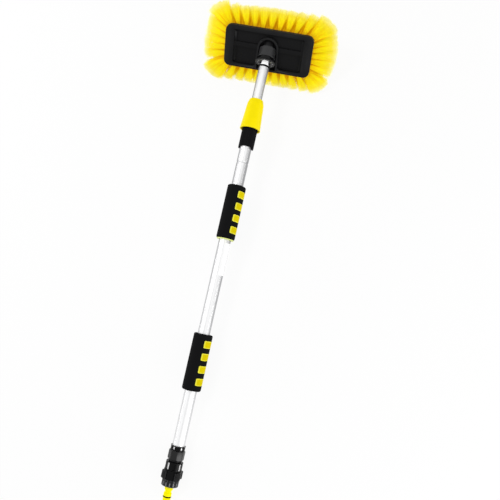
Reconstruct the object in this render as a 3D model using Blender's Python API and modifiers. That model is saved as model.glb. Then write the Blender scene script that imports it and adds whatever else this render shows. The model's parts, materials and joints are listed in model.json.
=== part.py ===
"""Telescopic flow-through car wash brush, lying on the floor as it comes to rest.

Metres, +Z up. Every piece is modelled in a straight pole frame: local Z runs along the pole from the
hose inlet to the head, local X is the right side and local -Y is up. The head has a frame of its own:
X right, Y towards its upper edge and Z out of its moulded back, with zero in the plane of the rim.
At the end the whole brush is tipped until its valve ring and its lowest bristles touch the floor.
"""

import math

import bmesh
import bpy
import numpy as np
from mathutils import Matrix, Vector

# Shared fits
GAP = 0.0003
OVERRUN = 0.002
SIDES = 24
SMALL_SIDES = 16
SHARP_ANGLE = math.radians(35)
WELD_SHARE = 0.01

# Tubes
OUTER_TUBE_RADIUS = 0.0125
INNER_TUBE_RADIUS = 0.01075
TUBE_WALL = 0.001
OUTER_TUBE_LENGTH = 0.705
INNER_TUBE_SHOWING = 0.074
CRIMP_FROM_TOP = 0.0966
CRIMP_WIDTH = 0.005
CRIMP_DEPTH = 0.0004
CRIMP_FLOOR_SHARE = 0.4

# Guide bush and seal on the lower end of the inner tube
GUIDE_HEAD_LENGTH = 0.015
GUIDE_SPIGOT_LENGTH = 0.02
GUIDE_BORE_RADIUS = 0.006
GUIDE_SEAL_PLACE_SHARE = 0.5

# Round seals
SEAL_WIDTH = 0.0024
SEAL_DEPTH = 0.0018
SEAL_CROWN_SHARE = 0.65
SEAL_SHOULDER_SHARE = 0.33

# Foam grips with four moulded inserts each
GRIP_RADIUS = 0.0193
GRIP_LENGTH = 0.1134
GRIP_EDGE_RADIUS = 0.004
LOWER_GRIP_FROM_COLLAR = 0.1095
UPPER_GRIP_FROM_LOCK = 0.0821
INSERT_COUNT = 4
INSERT_LENGTH = 0.0145
INSERT_WIDTH = 0.022
INSERT_CORNER_RADIUS = 0.0035
INSERT_SPACING = 0.025
INSERT_FLOOR_RADIUS = 0.0152
INSERT_PROUD = 0.0006
INSERT_TURN = math.radians(59)
END_RING_LENGTH = 0.0016
END_RING_RADIUS = 0.0178

# Twist lock: ribbed collar on the outer tube, split collet, wiper and outer sleeve
LOCK_COLLAR_RADIUS = 0.0162
LOCK_COLLAR_BODY_LENGTH = 0.045
OUTER_TUBE_IN_LOCK = 0.0653
LOCK_COLLAR_RIBS = 8
LOCK_COLLAR_RIB_DEPTH = 0.0011
COLLAR_NOTCH_DEPTH = 0.003
COLLAR_NOTCH_WIDTH = 0.0255
COLLAR_NOTCH_CORNER_SHARE = 0.9
LOCK_NECK_RADIUS = 0.0148
LOCK_NECK_LENGTH = 0.03
LOCK_LIP_LENGTH = 0.0025
RUNNING_GAP = 0.00035
COLLET_LENGTH = 0.024
COLLET_RADIUS = 0.0136
COLLET_TIP_RADIUS = 0.0125
COLLET_SLOTS = 5
COLLET_SLOT_WIDTH = 0.0016
COLLET_SLOT_LENGTH_SHARE = 0.7
SLEEVE_LENGTH = 0.0664
SLEEVE_COVERS_COLLAR = 0.0027
SLEEVE_MOUTH_RADIUS = 0.0215
SLEEVE_MOUTH_BORE = 0.0187
SLEEVE_LIP_LENGTH = 0.0022
SLEEVE_LIP_PROUD = 0.0004
SLEEVE_SHOULDER_RADIUS = 0.0176
SLEEVE_SHOULDER_LENGTH = 0.0095
SLEEVE_TOP_RADIUS = 0.0145
SLEEVE_TOP_WALL = 0.0085
WIPER_WIDTH = 0.0034

# Hose end: collar, hexagonal body, fluted sleeve, valve ring, union nut and nipple
NIPPLE_LENGTH = 0.033
NIPPLE_BORE_RADIUS = 0.0045
NIPPLE_TIP_RADIUS = 0.0068
NIPPLE_HEAD_RADIUS = 0.008
NIPPLE_WAIST_RADIUS = 0.00625
NIPPLE_SHOULDER_RADIUS = 0.0083
NIPPLE_FLANGE_RADIUS = 0.0106
NIPPLE_FLANGE_LENGTH = 0.003
NIPPLE_SEAL_STATION = 0.0118
NIPPLE_TIP_EDGE_SHARE = 0.93
NIPPLE_TIP_ROUND_SHARE = 0.06
WAIST_STATION_SHARES = (0.555, 0.63, 0.68, 0.79)
WASHER_LENGTH = 0.0015
UNION_NUT_RADIUS = 0.0162
UNION_NUT_LENGTH = 0.0131
UNION_NUT_LIP = 0.0022
UNION_NUT_RIDGES = 14
UNION_NUT_RIDGE_DEPTH = 0.0009
SPIGOT_RADIUS = 0.0122
VALVE_RING_RADIUS = 0.0178
VALVE_RING_LENGTH = 0.0171
VALVE_LUGS = 4
VALVE_LUG_RADIUS = 0.0213
VALVE_LUG_LENGTH = 0.0165
VALVE_LUG_WIDTH = 0.0155
VALVE_LUG_CHAMFER = 0.0012
FLUTED_RADIUS = 0.017
FLUTED_LENGTH = 0.0158
FLUTE_COUNT = 8
FLUTE_WIDTH = 0.0044
FLUTE_DEPTH = 0.0032
FLUTE_LENGTH_SHARE = 0.82
FLUTE_CORNER_SHARE = 0.33
HEX_NECK_RADIUS = 0.0134
HEX_NECK_LENGTH = 0.0031
HEX_ACROSS_FLATS = 0.03
HEX_LENGTH = 0.0185
HEX_CORNER_RADIUS = 0.0166
HEX_CHAMFER = 0.0018
HEX_TURN = math.radians(22)
HEX_SOCKET_DEPTH = 0.0135
CHAMBER_RADIUS = 0.0082
VALVE_SEAT_BORE_RADIUS = 0.005
PLUG_LENGTH = 0.0125
PLUG_BORE_SHARE = 0.3
PLUG_GROOVES = 3
PLUG_GROOVE_RADIUS = 0.0026
COLLAR_RADIUS = 0.0136
COLLAR_LIP_RADIUS = 0.0141
COLLAR_LENGTH = 0.009
COLLAR_WINDOWS = 5
COLLAR_WINDOW_WIDTH = 0.0052
COLLAR_WINDOW_LENGTH_SHARE = 0.6
COLLAR_WINDOW_TURN = math.radians(27)

# Head: moulded back, gasket, bristle board, inclined boss, socket and nut
HEAD_TILT = math.radians(45)
HEAD_WIDTH = 0.1905
HEAD_HEIGHT = 0.0884
HEAD_CORNER_RADIUS = 0.013
HEAD_EDGE_ROUND = 0.0014
BACK_DEPTH = 0.01
TRAY_DEPTH = 0.0065
TRAY_CORNER_RADIUS = 0.004
SIDE_BORDER = 0.0195
END_BORDER = 0.0088
CROSS_RIB_WIDTH = 0.0095
CROSS_RIB_PLACE = 0.0054
CROSS_RIB_BELOW_RIM = 0.0026
LEDGE_WIDTH = 0.0052
LEDGE_BELOW_RIM = 0.0036
POCKET_DEPTH = 0.0009
POCKET_MARGIN = 0.0065
POCKET_CORNER_RADIUS = 0.0025
ARCH_RADIUS = 0.0228
ARCH_WALL = 0.0039
ARCH_CENTRE = 0.0066
ARCH_ABOVE_RIM = 0.0042
ARCH_FLARE = 0.0024
ARCH_INTO_BORDER = 0.0044
ARCH_STEPS = 14
STUD_SIZE = 0.003
STUD_ABOVE_RIM = 0.0012
CHAMBER_DEPTH = 0.0015
CHAMBER_MARGIN = 0.0135
GASKET_LENGTH = 0.0012
GASKET_WIDTH = 0.008
GASKET_MARGIN = 0.003
BOARD_EDGE_DEPTH = 0.0024
BOARD_CROWN = 0.0055
WATER_BORE_RADIUS = 0.0064
BOSS_RADIUS = 0.0125
BOSS_SOCKET_OVERLAP = 0.012

# The head's joint with the pole: socket, nut and the inner tube's tapered end
SOCKET_PAST_RIM = 0.004
SOCKET_LENGTH = 0.0215
SOCKET_RADIUS = 0.0183
SOCKET_FRONT_RADIUS = 0.0176
SOCKET_FLANGE_RADIUS = 0.0192
SOCKET_FLANGE_LENGTH = 0.0022
SOCKET_NOSE_RADIUS = 0.0152
SOCKET_NOSE_LENGTH = 0.0062
NUT_LENGTH = 0.0092
NUT_REAR_RADIUS = 0.0196
NUT_FACE_RADIUS = 0.0222
NUT_MOUTH_RADIUS = 0.0112
NUT_BEVEL_RADIUS = 0.0158
NUT_LIP_LENGTH = 0.0024
NUT_BEVELS = 8
NUT_BEVEL_DEPTH = 0.0012
FERRULE_CONE_RADIUS = 0.0097
FERRULE_SPIGOT_RADIUS = 0.0074
FERRULE_BORE_RADIUS = 0.005
FERRULE_CONE_LENGTH = 0.0104
NUT_ALONG_CONE_SHARE = 0.75
FERRULE_SPIGOT_LENGTH = 0.0154
FERRULE_PLUG_LENGTH = 0.022
FERRULE_SEAL_FROM_END = 0.006
RING_RADIUS = 0.0114
RING_LENGTH = 0.0028

# Bristles: one strand stands for a tuft
SLICE_COUNT = 8
SLICE_COLUMNS = 3
BRISTLE_ROWS = 15
BRISTLE_LENGTH = 0.058
EDGE_ROW_SHORTER = 0.018
SPLAY_SIDE = math.radians(70)
SPLAY_END = math.radians(77)
STRAND_ROOT_WIDTH = 0.003
STRAND_TIP_WIDTH = 0.0072
FLOOR_CUT = 0.0005

# Stations along the pole, from the hose inlet
NUT_STATION = NIPPLE_LENGTH
WASHER_STATION = NUT_STATION + UNION_NUT_LIP + GAP + NIPPLE_FLANGE_LENGTH + GAP
SPIGOT_STATION = WASHER_STATION + WASHER_LENGTH + GAP
RING_STATION = NUT_STATION + UNION_NUT_LENGTH + GAP
FLUTED_STATION = RING_STATION + VALVE_RING_LENGTH + GAP
HEX_STATION = FLUTED_STATION + FLUTED_LENGTH + GAP
COLLAR_STATION = HEX_STATION + HEX_NECK_LENGTH + HEX_LENGTH + GAP
OUTER_TUBE_STATION = COLLAR_STATION - HEX_SOCKET_DEPTH
GUIDE_STATION = OUTER_TUBE_STATION + GAP
INNER_TUBE_STATION = GUIDE_STATION + GUIDE_HEAD_LENGTH + GAP
LOWER_GRIP_STATION = COLLAR_STATION + COLLAR_LENGTH + LOWER_GRIP_FROM_COLLAR
OUTER_TUBE_TOP = OUTER_TUBE_STATION + OUTER_TUBE_LENGTH
LOCK_COLLAR_STATION = OUTER_TUBE_TOP - OUTER_TUBE_IN_LOCK
UPPER_GRIP_STATION = LOCK_COLLAR_STATION - UPPER_GRIP_FROM_LOCK - GRIP_LENGTH
CRIMP_STATION = OUTER_TUBE_TOP - CRIMP_FROM_TOP
SLEEVE_STATION = LOCK_COLLAR_STATION + LOCK_COLLAR_BODY_LENGTH - SLEEVE_COVERS_COLLAR
LOCK_NECK_TOP = LOCK_COLLAR_STATION + LOCK_COLLAR_BODY_LENGTH + LOCK_NECK_LENGTH
SLEEVE_TOP = SLEEVE_STATION + SLEEVE_LENGTH
INNER_TUBE_TOP = SLEEVE_TOP + INNER_TUBE_SHOWING
RIM_RING_STATION = INNER_TUBE_TOP + GAP
CONE_STATION = RIM_RING_STATION + RING_LENGTH + GAP
FERRULE_END = CONE_STATION + FERRULE_CONE_LENGTH + FERRULE_SPIGOT_LENGTH
HEAD_NUT_STATION = CONE_STATION + FERRULE_CONE_LENGTH * NUT_ALONG_CONE_SHARE
SOCKET_STATION = HEAD_NUT_STATION + NUT_LENGTH + GAP
SOCKET_END = SOCKET_STATION + SOCKET_LENGTH
HEAD_STATION = SOCKET_END - SOCKET_PAST_RIM


def clear_scene():
    for obj in list(bpy.data.objects):
        bpy.data.objects.remove(obj, do_unlink=True)


def collection(name, hidden=False):
    made = bpy.data.collections.new(name)
    bpy.context.scene.collection.children.link(made)
    made.hide_render = hidden
    return made


def empty(name, parent=None, location=(0, 0, 0), turn=0.0):
    """A frame that pieces are parented to, turned about its parent's X axis."""
    made = bpy.data.objects.new(name, None)
    PARTS.objects.link(made)
    made.parent = parent
    made.location = location
    made.rotation_euler = (turn, 0, 0)
    return made


def finish(name, colour, roughness, metallic=0.0):
    made = bpy.data.materials.new(name)
    made.use_nodes = True
    shader = made.node_tree.nodes["Principled BSDF"]
    shader.inputs["Base Color"].default_value = (*colour, 1.0)
    shader.inputs["Roughness"].default_value = roughness
    shader.inputs["Metallic"].default_value = metallic
    made.diffuse_color = (*colour, 1.0)
    return made


def piece(name, mesh, parent, colour, roughness, metallic=0.0):
    """A named sub-part with a material of its own."""
    made = bpy.data.objects.new(name, mesh)
    PARTS.objects.link(made)
    made.parent = parent
    mesh.materials.clear()
    mesh.materials.append(finish(name, colour, roughness, metallic))
    return made


def helper(name, mesh, parent):
    """A cutter or an addition that a Boolean uses, left out of the render."""
    made = bpy.data.objects.new(name, mesh)
    CUTTERS.objects.link(made)
    made.parent = parent
    made.hide_render = True
    made.display_type = "WIRE"
    return made


def boolean(target, other, operation="DIFFERENCE"):
    modifier = target.modifiers.new(other.name, "BOOLEAN")
    modifier.operation = operation
    modifier.solver = "EXACT"
    modifier.object = other
    return modifier


def settle(obj):
    """Makes the evaluated shape the object's own mesh, welded, with round faces shaded smooth."""
    bpy.context.view_layer.update()
    graph = bpy.context.evaluated_depsgraph_get()
    mesh = bpy.data.meshes.new_from_object(obj.evaluated_get(graph))
    materials = list(obj.data.materials)
    obj.modifiers.clear()
    obj.data = mesh
    mesh.materials.clear()
    for material in materials:
        mesh.materials.append(material)
    shape = bmesh.new()
    shape.from_mesh(mesh)
    bmesh.ops.remove_doubles(shape, verts=shape.verts, dist=GAP * WELD_SHARE)
    bmesh.ops.recalc_face_normals(shape, faces=shape.faces)
    shape.to_mesh(mesh)
    shape.free()
    mesh.shade_smooth()
    mesh.set_sharp_from_angle(angle=SHARP_ANGLE)
    return obj


def turned_mesh(name, profile, sides=SIDES, turn=0.0):
    """A ring or a solid turned about Z from a closed profile of (radius, station) points that runs
    down its outer side and back up its inner side."""
    mesh = bpy.data.meshes.new(name)
    corners = [(radius, 0, station) for radius, station in profile]
    edges = [(i, (i + 1) % len(corners)) for i in range(len(corners))]
    mesh.from_pydata(corners, edges, [])
    shape = bpy.data.objects.new(name, mesh)
    CUTTERS.objects.link(shape)
    screw = shape.modifiers.new("turn", "SCREW")
    screw.steps = sides
    screw.render_steps = sides
    screw.use_merge_vertices = True
    screw.merge_threshold = GAP * WELD_SHARE
    bpy.context.view_layer.update()
    graph = bpy.context.evaluated_depsgraph_get()
    made = bpy.data.meshes.new_from_object(shape.evaluated_get(graph))
    bpy.data.objects.remove(shape, do_unlink=True)
    made.transform(Matrix.Rotation(turn, 4, "Z"))
    made.name = name
    return made


def rod_mesh(name, radius, bottom, top, sides=SIDES, top_radius=None):
    """A cylinder or cone along Z between two stations."""
    shape = bmesh.new()
    bmesh.ops.create_cone(
        shape,
        cap_ends=True,
        segments=sides,
        radius1=radius,
        radius2=radius if top_radius is None else top_radius,
        depth=top - bottom,
        matrix=Matrix.Translation((0, 0, (top + bottom) / 2)),
    )
    mesh = bpy.data.meshes.new(name)
    shape.to_mesh(mesh)
    shape.free()
    return mesh


def box_mesh(name, size, centre, corner=0.0, axis="Z", steps=4, edge=0.0):
    """A box with the four edges along one axis rounded by corner, and its top outline by edge."""
    shape = bmesh.new()
    bmesh.ops.create_cube(shape, size=1)
    bmesh.ops.scale(shape, verts=shape.verts, vec=size)
    along = "XYZ".index(axis)
    if corner:
        edges = [e for e in shape.edges if abs((e.verts[0].co - e.verts[1].co)[along]) > GAP]
        bmesh.ops.bevel(shape, geom=edges, offset=corner, segments=steps, affect="EDGES", profile=0.5)
    if edge:
        top = max(v.co[along] for v in shape.verts)
        rim = [e for e in shape.edges if all(top - v.co[along] < GAP for v in e.verts)]
        bmesh.ops.bevel(shape, geom=rim, offset=edge, segments=2, affect="EDGES", profile=0.5)
    bmesh.ops.translate(shape, verts=shape.verts, vec=centre)
    mesh = bpy.data.meshes.new(name)
    shape.to_mesh(mesh)
    shape.free()
    return mesh


def plate_mesh(name, outline, bottom, top):
    """A flat outline in X and Y made solid between two heights."""
    curve = bpy.data.curves.new(name, "CURVE")
    curve.dimensions = "2D"
    curve.fill_mode = "BOTH"
    curve.extrude = (top - bottom) / 2
    spline = curve.splines.new("POLY")
    spline.points.add(len(outline) - 1)
    for point, (x, y) in zip(spline.points, outline):
        point.co = (x, y, 0, 1)
    spline.use_cyclic_u = True
    shape = bpy.data.objects.new(name, curve)
    CUTTERS.objects.link(shape)
    bpy.context.view_layer.update()
    graph = bpy.context.evaluated_depsgraph_get()
    made = bpy.data.meshes.new_from_object(shape.evaluated_get(graph))
    bpy.data.objects.remove(shape, do_unlink=True)
    welded = bmesh.new()
    welded.from_mesh(made)
    bmesh.ops.remove_doubles(welded, verts=welded.verts, dist=GAP * WELD_SHARE)
    bmesh.ops.recalc_face_normals(welded, faces=welded.faces)
    bmesh.ops.translate(welded, verts=welded.verts, vec=(0, 0, (top + bottom) / 2))
    welded.to_mesh(made)
    welded.free()
    return made


def spread_mesh(name, mesh, count, turn=0.0):
    """Copies of one mesh spaced evenly round Z, as separate bodies of one cutter."""
    shape = bmesh.new()
    for index in range(count):
        copy = mesh.copy()
        copy.transform(Matrix.Rotation(turn + 2 * math.pi * index / count, 4, "Z"))
        shape.from_mesh(copy)
        bpy.data.meshes.remove(copy)
    made = bpy.data.meshes.new(name)
    shape.to_mesh(made)
    shape.free()
    return made


def tube_profile(outer, inner, bottom, top):
    return [(outer, top), (outer, bottom), (inner, bottom), (inner, top)]


def rounded_tube_profile(outer, inner, bottom, top, edge, steps=2):
    """A tube whose two outer edges are rounded."""
    turns = [math.pi / 2 * i / steps for i in range(steps + 1)]
    upper = [(outer - edge + edge * math.sin(a), top - edge + edge * math.cos(a)) for a in turns]
    lower = [(outer - edge + edge * math.cos(a), bottom + edge - edge * math.sin(a)) for a in turns]
    return [*upper, *lower, (inner, bottom), (inner, top)]


def seal_profile(inner, middle, width=SEAL_WIDTH, depth=SEAL_DEPTH):
    """A round seal as a ring of six sides, its inner face at a radius and its middle at a station."""
    outer, half = inner + depth, width / 2
    crown, shoulder = half * SEAL_CROWN_SHARE, outer - depth * SEAL_SHOULDER_SHARE
    return [
        (shoulder, middle + half),
        (outer, middle + crown),
        (outer, middle - crown),
        (shoulder, middle - half),
        (inner, middle - half),
        (inner, middle + half),
    ]


def ribbed(mesh, radius, count, depth, bottom, top, sides):
    """Sinks every other stretch of a turned outer wall, which leaves that many lengthwise ribs."""
    per_rib = sides / count
    for vertex in mesh.vertices:
        x, y, z = vertex.co
        distance = math.hypot(x, y)
        if distance < radius - depth / 2 or not bottom - GAP <= z <= top + GAP:
            continue
        step = round(math.atan2(y, x) / (2 * math.pi / sides)) % sides
        if step % per_rib >= per_rib / 2:
            vertex.co.x = x * (distance - depth) / distance
            vertex.co.y = y * (distance - depth) / distance


def make_outer_tube():
    outer, inner = OUTER_TUBE_RADIUS, OUTER_TUBE_RADIUS - TUBE_WALL
    crimp = [
        (0, CRIMP_WIDTH / 2),
        (CRIMP_DEPTH, CRIMP_WIDTH / 2 * CRIMP_FLOOR_SHARE),
        (CRIMP_DEPTH, -CRIMP_WIDTH / 2 * CRIMP_FLOOR_SHARE),
        (0, -CRIMP_WIDTH / 2),
    ]
    outside = [(outer - depth, CRIMP_STATION + along) for depth, along in crimp]
    inside = [(inner - depth, CRIMP_STATION + along) for depth, along in reversed(crimp)]
    bottom, top = OUTER_TUBE_STATION, OUTER_TUBE_TOP
    profile = [(outer, top), *outside, (outer, bottom), (inner, bottom), *inside, (inner, top)]
    settle(piece("outer_tube", turned_mesh("outer_tube", profile), POLE, (0.86, 0.86, 0.87), 0.3, 1.0))


def make_inner_tube():
    bottom, top = INNER_TUBE_STATION, INNER_TUBE_TOP
    profile = tube_profile(INNER_TUBE_RADIUS, INNER_TUBE_RADIUS - TUBE_WALL, bottom, top)
    settle(piece("inner_tube", turned_mesh("inner_tube", profile), POLE, (0.88, 0.88, 0.89), 0.28, 1.0))


def make_inner_tube_guide():
    """Bush on the inner tube's lower end: it slides in the outer tube and carries the piston seal."""
    head = OUTER_TUBE_RADIUS - TUBE_WALL - GAP
    spigot = INNER_TUBE_RADIUS - TUBE_WALL - GAP
    bottom, shoulder = GUIDE_STATION, GUIDE_STATION + GUIDE_HEAD_LENGTH
    seal = bottom + GUIDE_HEAD_LENGTH * GUIDE_SEAL_PLACE_SHARE
    half = SEAL_WIDTH / 2 + GAP
    floor = head - SEAL_DEPTH - GAP
    profile = [
        (spigot, shoulder + GUIDE_SPIGOT_LENGTH),
        (spigot, shoulder),
        (head, shoulder),
        (head, seal + half),
        (floor, seal + half),
        (floor, seal - half),
        (head, seal - half),
        (head, bottom),
        (GUIDE_BORE_RADIUS, bottom),
        (GUIDE_BORE_RADIUS, shoulder + GUIDE_SPIGOT_LENGTH),
    ]
    mesh = turned_mesh("inner_tube_guide", profile, SMALL_SIDES)
    settle(piece("inner_tube_guide", mesh, POLE, (0.03, 0.03, 0.03), 0.5))
    ring = turned_mesh("piston_seal", seal_profile(floor + GAP, seal), SMALL_SIDES)
    settle(piece("piston_seal", ring, POLE, (0.01, 0.01, 0.01), 0.6))


def insert_mesh(name, station, clearance):
    """One rounded square insert, or the pocket it sits in when it has clearance."""
    inner = INSERT_FLOOR_RADIUS - clearance
    outer = GRIP_RADIUS + OVERRUN
    size = (outer - inner, INSERT_WIDTH + 2 * clearance, INSERT_LENGTH + 2 * clearance)
    corner = INSERT_CORNER_RADIUS + clearance
    mesh = box_mesh(name, size, ((outer + inner) / 2, 0, station), corner, "X", 2)
    mesh.transform(Matrix.Rotation(INSERT_TURN - math.pi / 2, 4, "Z"))
    return mesh


def make_grip(name, bottom):
    """Foam sleeve with a row of four pockets and a coloured insert seated in each."""
    bore = OUTER_TUBE_RADIUS + GAP
    profile = rounded_tube_profile(GRIP_RADIUS, bore, bottom, bottom + GRIP_LENGTH, GRIP_EDGE_RADIUS)
    grip = piece(name, turned_mesh(name, profile), POLE, (0.01, 0.01, 0.011), 0.9)
    middle = bottom + GRIP_LENGTH / 2
    for index in range(INSERT_COUNT):
        station = middle + (index - (INSERT_COUNT - 1) / 2) * INSERT_SPACING
        pocket = helper(f"{name}_pocket_{index + 1}", insert_mesh("pocket", station, GAP), POLE)
        boolean(grip, pocket)
        label = f"{name}_insert_{index + 1}"
        insert = piece(label, insert_mesh(label, station, 0), POLE, (0.8, 0.68, 0.01), 0.6)
        rod = rod_mesh("insert_face", GRIP_RADIUS + INSERT_PROUD, bottom, bottom + GRIP_LENGTH)
        boolean(insert, helper(f"{label}_face", rod, POLE), "INTERSECT")
        settle(insert)
    settle(grip)


def make_grip_end_ring():
    top = UPPER_GRIP_STATION - GAP
    profile = tube_profile(END_RING_RADIUS, OUTER_TUBE_RADIUS + GAP, top - END_RING_LENGTH, top)
    mesh = turned_mesh("upper_grip_end_ring", profile)
    settle(piece("upper_grip_end_ring", mesh, POLE, (0.75, 0.85, 0.12), 0.5))


def make_lock_collar():
    """Ribbed collar fixed on the outer tube, with the neck that the sleeve turns on."""
    bottom = LOCK_COLLAR_STATION
    shoulder = bottom + LOCK_COLLAR_BODY_LENGTH
    bore, passage = OUTER_TUBE_RADIUS + GAP, INNER_TUBE_RADIUS + RUNNING_GAP
    lip = OUTER_TUBE_TOP + GAP
    seat = lip + LOCK_LIP_LENGTH
    profile = [
        (LOCK_NECK_RADIUS, LOCK_NECK_TOP),
        (LOCK_NECK_RADIUS, shoulder),
        (LOCK_COLLAR_RADIUS, shoulder),
        (LOCK_COLLAR_RADIUS, bottom),
        (bore, bottom),
        (bore, lip),
        (passage, lip),
        (passage, seat),
        (COLLET_RADIUS + GAP, seat),
        (COLLET_RADIUS + GAP, LOCK_NECK_TOP),
    ]
    mesh = turned_mesh("lock_collar", profile)
    ribbed(mesh, LOCK_COLLAR_RADIUS, LOCK_COLLAR_RIBS, LOCK_COLLAR_RIB_DEPTH, bottom, shoulder, SIDES)
    collar = piece("lock_collar", mesh, POLE, (0.012, 0.012, 0.012), 0.4)
    through = 2 * (LOCK_COLLAR_RADIUS + OVERRUN)
    notch_size = (COLLAR_NOTCH_WIDTH, through, 2 * COLLAR_NOTCH_DEPTH)
    corner = COLLAR_NOTCH_DEPTH * COLLAR_NOTCH_CORNER_SHARE
    notch = box_mesh("collar_notch", notch_size, (0, 0, bottom), corner, "Y")
    boolean(collar, helper("collar_notch", notch, POLE))
    settle(collar)
    make_lock_collet(seat + GAP)


def make_lock_collet(bottom):
    """Split cone that the sleeve squeezes on the inner tube."""
    passage, top = INNER_TUBE_RADIUS + RUNNING_GAP, bottom + COLLET_LENGTH
    bend = LOCK_NECK_TOP + GAP
    profile = [
        (COLLET_TIP_RADIUS, top),
        (COLLET_RADIUS, bend),
        (COLLET_RADIUS, bottom),
        (passage, bottom),
        (passage, top),
    ]
    collet = piece("lock_collet", turned_mesh("lock_collet", profile), POLE, (0.9, 0.9, 0.88), 0.5)
    reach, long = 2 * COLLET_RADIUS, COLLET_LENGTH * COLLET_SLOT_LENGTH_SHARE
    size = (reach, COLLET_SLOT_WIDTH, long + OVERRUN)
    slot = box_mesh("slot", size, (reach / 2, 0, top - (long - OVERRUN) / 2))
    boolean(collet, helper("collet_slots", spread_mesh("slots", slot, COLLET_SLOTS), POLE))
    through_size = (reach, COLLET_SLOT_WIDTH, COLLET_LENGTH + 2 * OVERRUN)
    through = box_mesh("split", through_size, (reach / 2, 0, (bottom + top) / 2))
    boolean(collet, helper("collet_split", through, POLE))
    settle(collet)


def make_lock_sleeve():
    """Twist sleeve: it widens to its mouth, covers the collet and closes over the wiper."""
    bottom, top = SLEEVE_STATION, SLEEVE_TOP
    collar_top = LOCK_COLLAR_STATION + LOCK_COLLAR_BODY_LENGTH + GAP
    neck_bore, collet_bore = LOCK_NECK_RADIUS + GAP, COLLET_RADIUS + GAP
    passage = INNER_TUBE_RADIUS + RUNNING_GAP
    cone_top = OUTER_TUBE_TOP + LOCK_LIP_LENGTH + COLLET_LENGTH + 3 * GAP
    wiper_top = top - SLEEVE_TOP_WALL
    shoulder = top - SLEEVE_SHOULDER_LENGTH
    profile = [
        (SLEEVE_TOP_RADIUS, top),
        (SLEEVE_SHOULDER_RADIUS, shoulder),
        (SLEEVE_MOUTH_RADIUS, bottom + SLEEVE_LIP_LENGTH),
        (SLEEVE_MOUTH_RADIUS + SLEEVE_LIP_PROUD, bottom + SLEEVE_LIP_LENGTH),
        (SLEEVE_MOUTH_RADIUS + SLEEVE_LIP_PROUD, bottom),
        (SLEEVE_MOUTH_BORE, bottom),
        (SLEEVE_MOUTH_BORE, collar_top),
        (neck_bore, collar_top + SLEEVE_LIP_LENGTH),
        (neck_bore, LOCK_NECK_TOP + GAP),
        (collet_bore, LOCK_NECK_TOP + 2 * GAP),
        (COLLET_TIP_RADIUS + GAP, cone_top),
        (COLLET_RADIUS, cone_top),
        (COLLET_RADIUS, wiper_top),
        (passage, wiper_top),
        (passage, top),
    ]
    sleeve = piece("lock_sleeve", turned_mesh("lock_sleeve", profile), POLE, (0.98, 0.77, 0.01), 0.42)
    settle(sleeve)
    wiper = [
        (COLLET_RADIUS - GAP, wiper_top - GAP),
        (COLLET_RADIUS - GAP, wiper_top - GAP - WIPER_WIDTH),
        (INNER_TUBE_RADIUS + GAP, wiper_top - GAP - WIPER_WIDTH),
        (INNER_TUBE_RADIUS + GAP, wiper_top - GAP),
    ]
    settle(piece("wiper_seal", turned_mesh("wiper_seal", wiper, SMALL_SIDES), POLE, (0.01, 0.01, 0.01), 0.7))


def make_hose_nipple():
    """Male hose nipple: tapered tip, seal groove, locking waist, shoulder and the flange in the nut."""
    waist_start, waist_low, waist_high, shoulder = (
        NIPPLE_LENGTH * share for share in WAIST_STATION_SHARES
    )
    flange = NUT_STATION + UNION_NUT_LIP + GAP
    top = flange + NIPPLE_FLANGE_LENGTH
    half = SEAL_WIDTH / 2 + GAP
    groove = NIPPLE_HEAD_RADIUS - SEAL_DEPTH
    profile = [
        (NIPPLE_FLANGE_RADIUS, top),
        (NIPPLE_FLANGE_RADIUS, flange),
        (NIPPLE_SHOULDER_RADIUS, flange),
        (NIPPLE_SHOULDER_RADIUS, shoulder),
        (NIPPLE_WAIST_RADIUS, waist_high),
        (NIPPLE_WAIST_RADIUS, waist_low),
        (NIPPLE_HEAD_RADIUS, waist_start),
        (NIPPLE_HEAD_RADIUS, NIPPLE_SEAL_STATION + half),
        (groove, NIPPLE_SEAL_STATION + half),
        (groove, NIPPLE_SEAL_STATION - half),
        (NIPPLE_HEAD_RADIUS, NIPPLE_SEAL_STATION - half),
        (NIPPLE_TIP_RADIUS, NIPPLE_LENGTH * NIPPLE_TIP_ROUND_SHARE),
        (NIPPLE_TIP_RADIUS * NIPPLE_TIP_EDGE_SHARE, 0),
        (NIPPLE_BORE_RADIUS, 0),
        (NIPPLE_BORE_RADIUS, top),
    ]
    mesh = turned_mesh("hose_nipple", profile, SMALL_SIDES)
    settle(piece("hose_nipple", mesh, POLE, (0.93, 0.86, 0.03), 0.35))
    seal = turned_mesh("nipple_seal", seal_profile(groove + GAP, NIPPLE_SEAL_STATION), SMALL_SIDES)
    settle(piece("nipple_seal", seal, POLE, (0.01, 0.01, 0.01), 0.5))
    washer = tube_profile(
        NIPPLE_FLANGE_RADIUS, NIPPLE_BORE_RADIUS, WASHER_STATION, WASHER_STATION + WASHER_LENGTH
    )
    washer_mesh = turned_mesh("nipple_washer", washer, SMALL_SIDES)
    settle(piece("nipple_washer", washer_mesh, POLE, (0.02, 0.02, 0.02), 0.7))


def make_union_nut():
    bottom, top = NUT_STATION, NUT_STATION + UNION_NUT_LENGTH
    mouth, thread = NIPPLE_SHOULDER_RADIUS + GAP, SPIGOT_RADIUS + GAP
    edge = UNION_NUT_RIDGE_DEPTH
    profile = [
        (UNION_NUT_RADIUS, top),
        (UNION_NUT_RADIUS, bottom + edge),
        (UNION_NUT_RADIUS - edge, bottom),
        (mouth, bottom),
        (mouth, bottom + UNION_NUT_LIP),
        (thread, bottom + UNION_NUT_LIP),
        (thread, top),
    ]
    sides = 2 * UNION_NUT_RIDGES
    mesh = turned_mesh("union_nut", profile, sides)
    ribbed(mesh, UNION_NUT_RADIUS, UNION_NUT_RIDGES, edge, bottom + edge, top, sides)
    settle(piece("union_nut", mesh, POLE, (0.015, 0.015, 0.016), 0.18))


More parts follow.
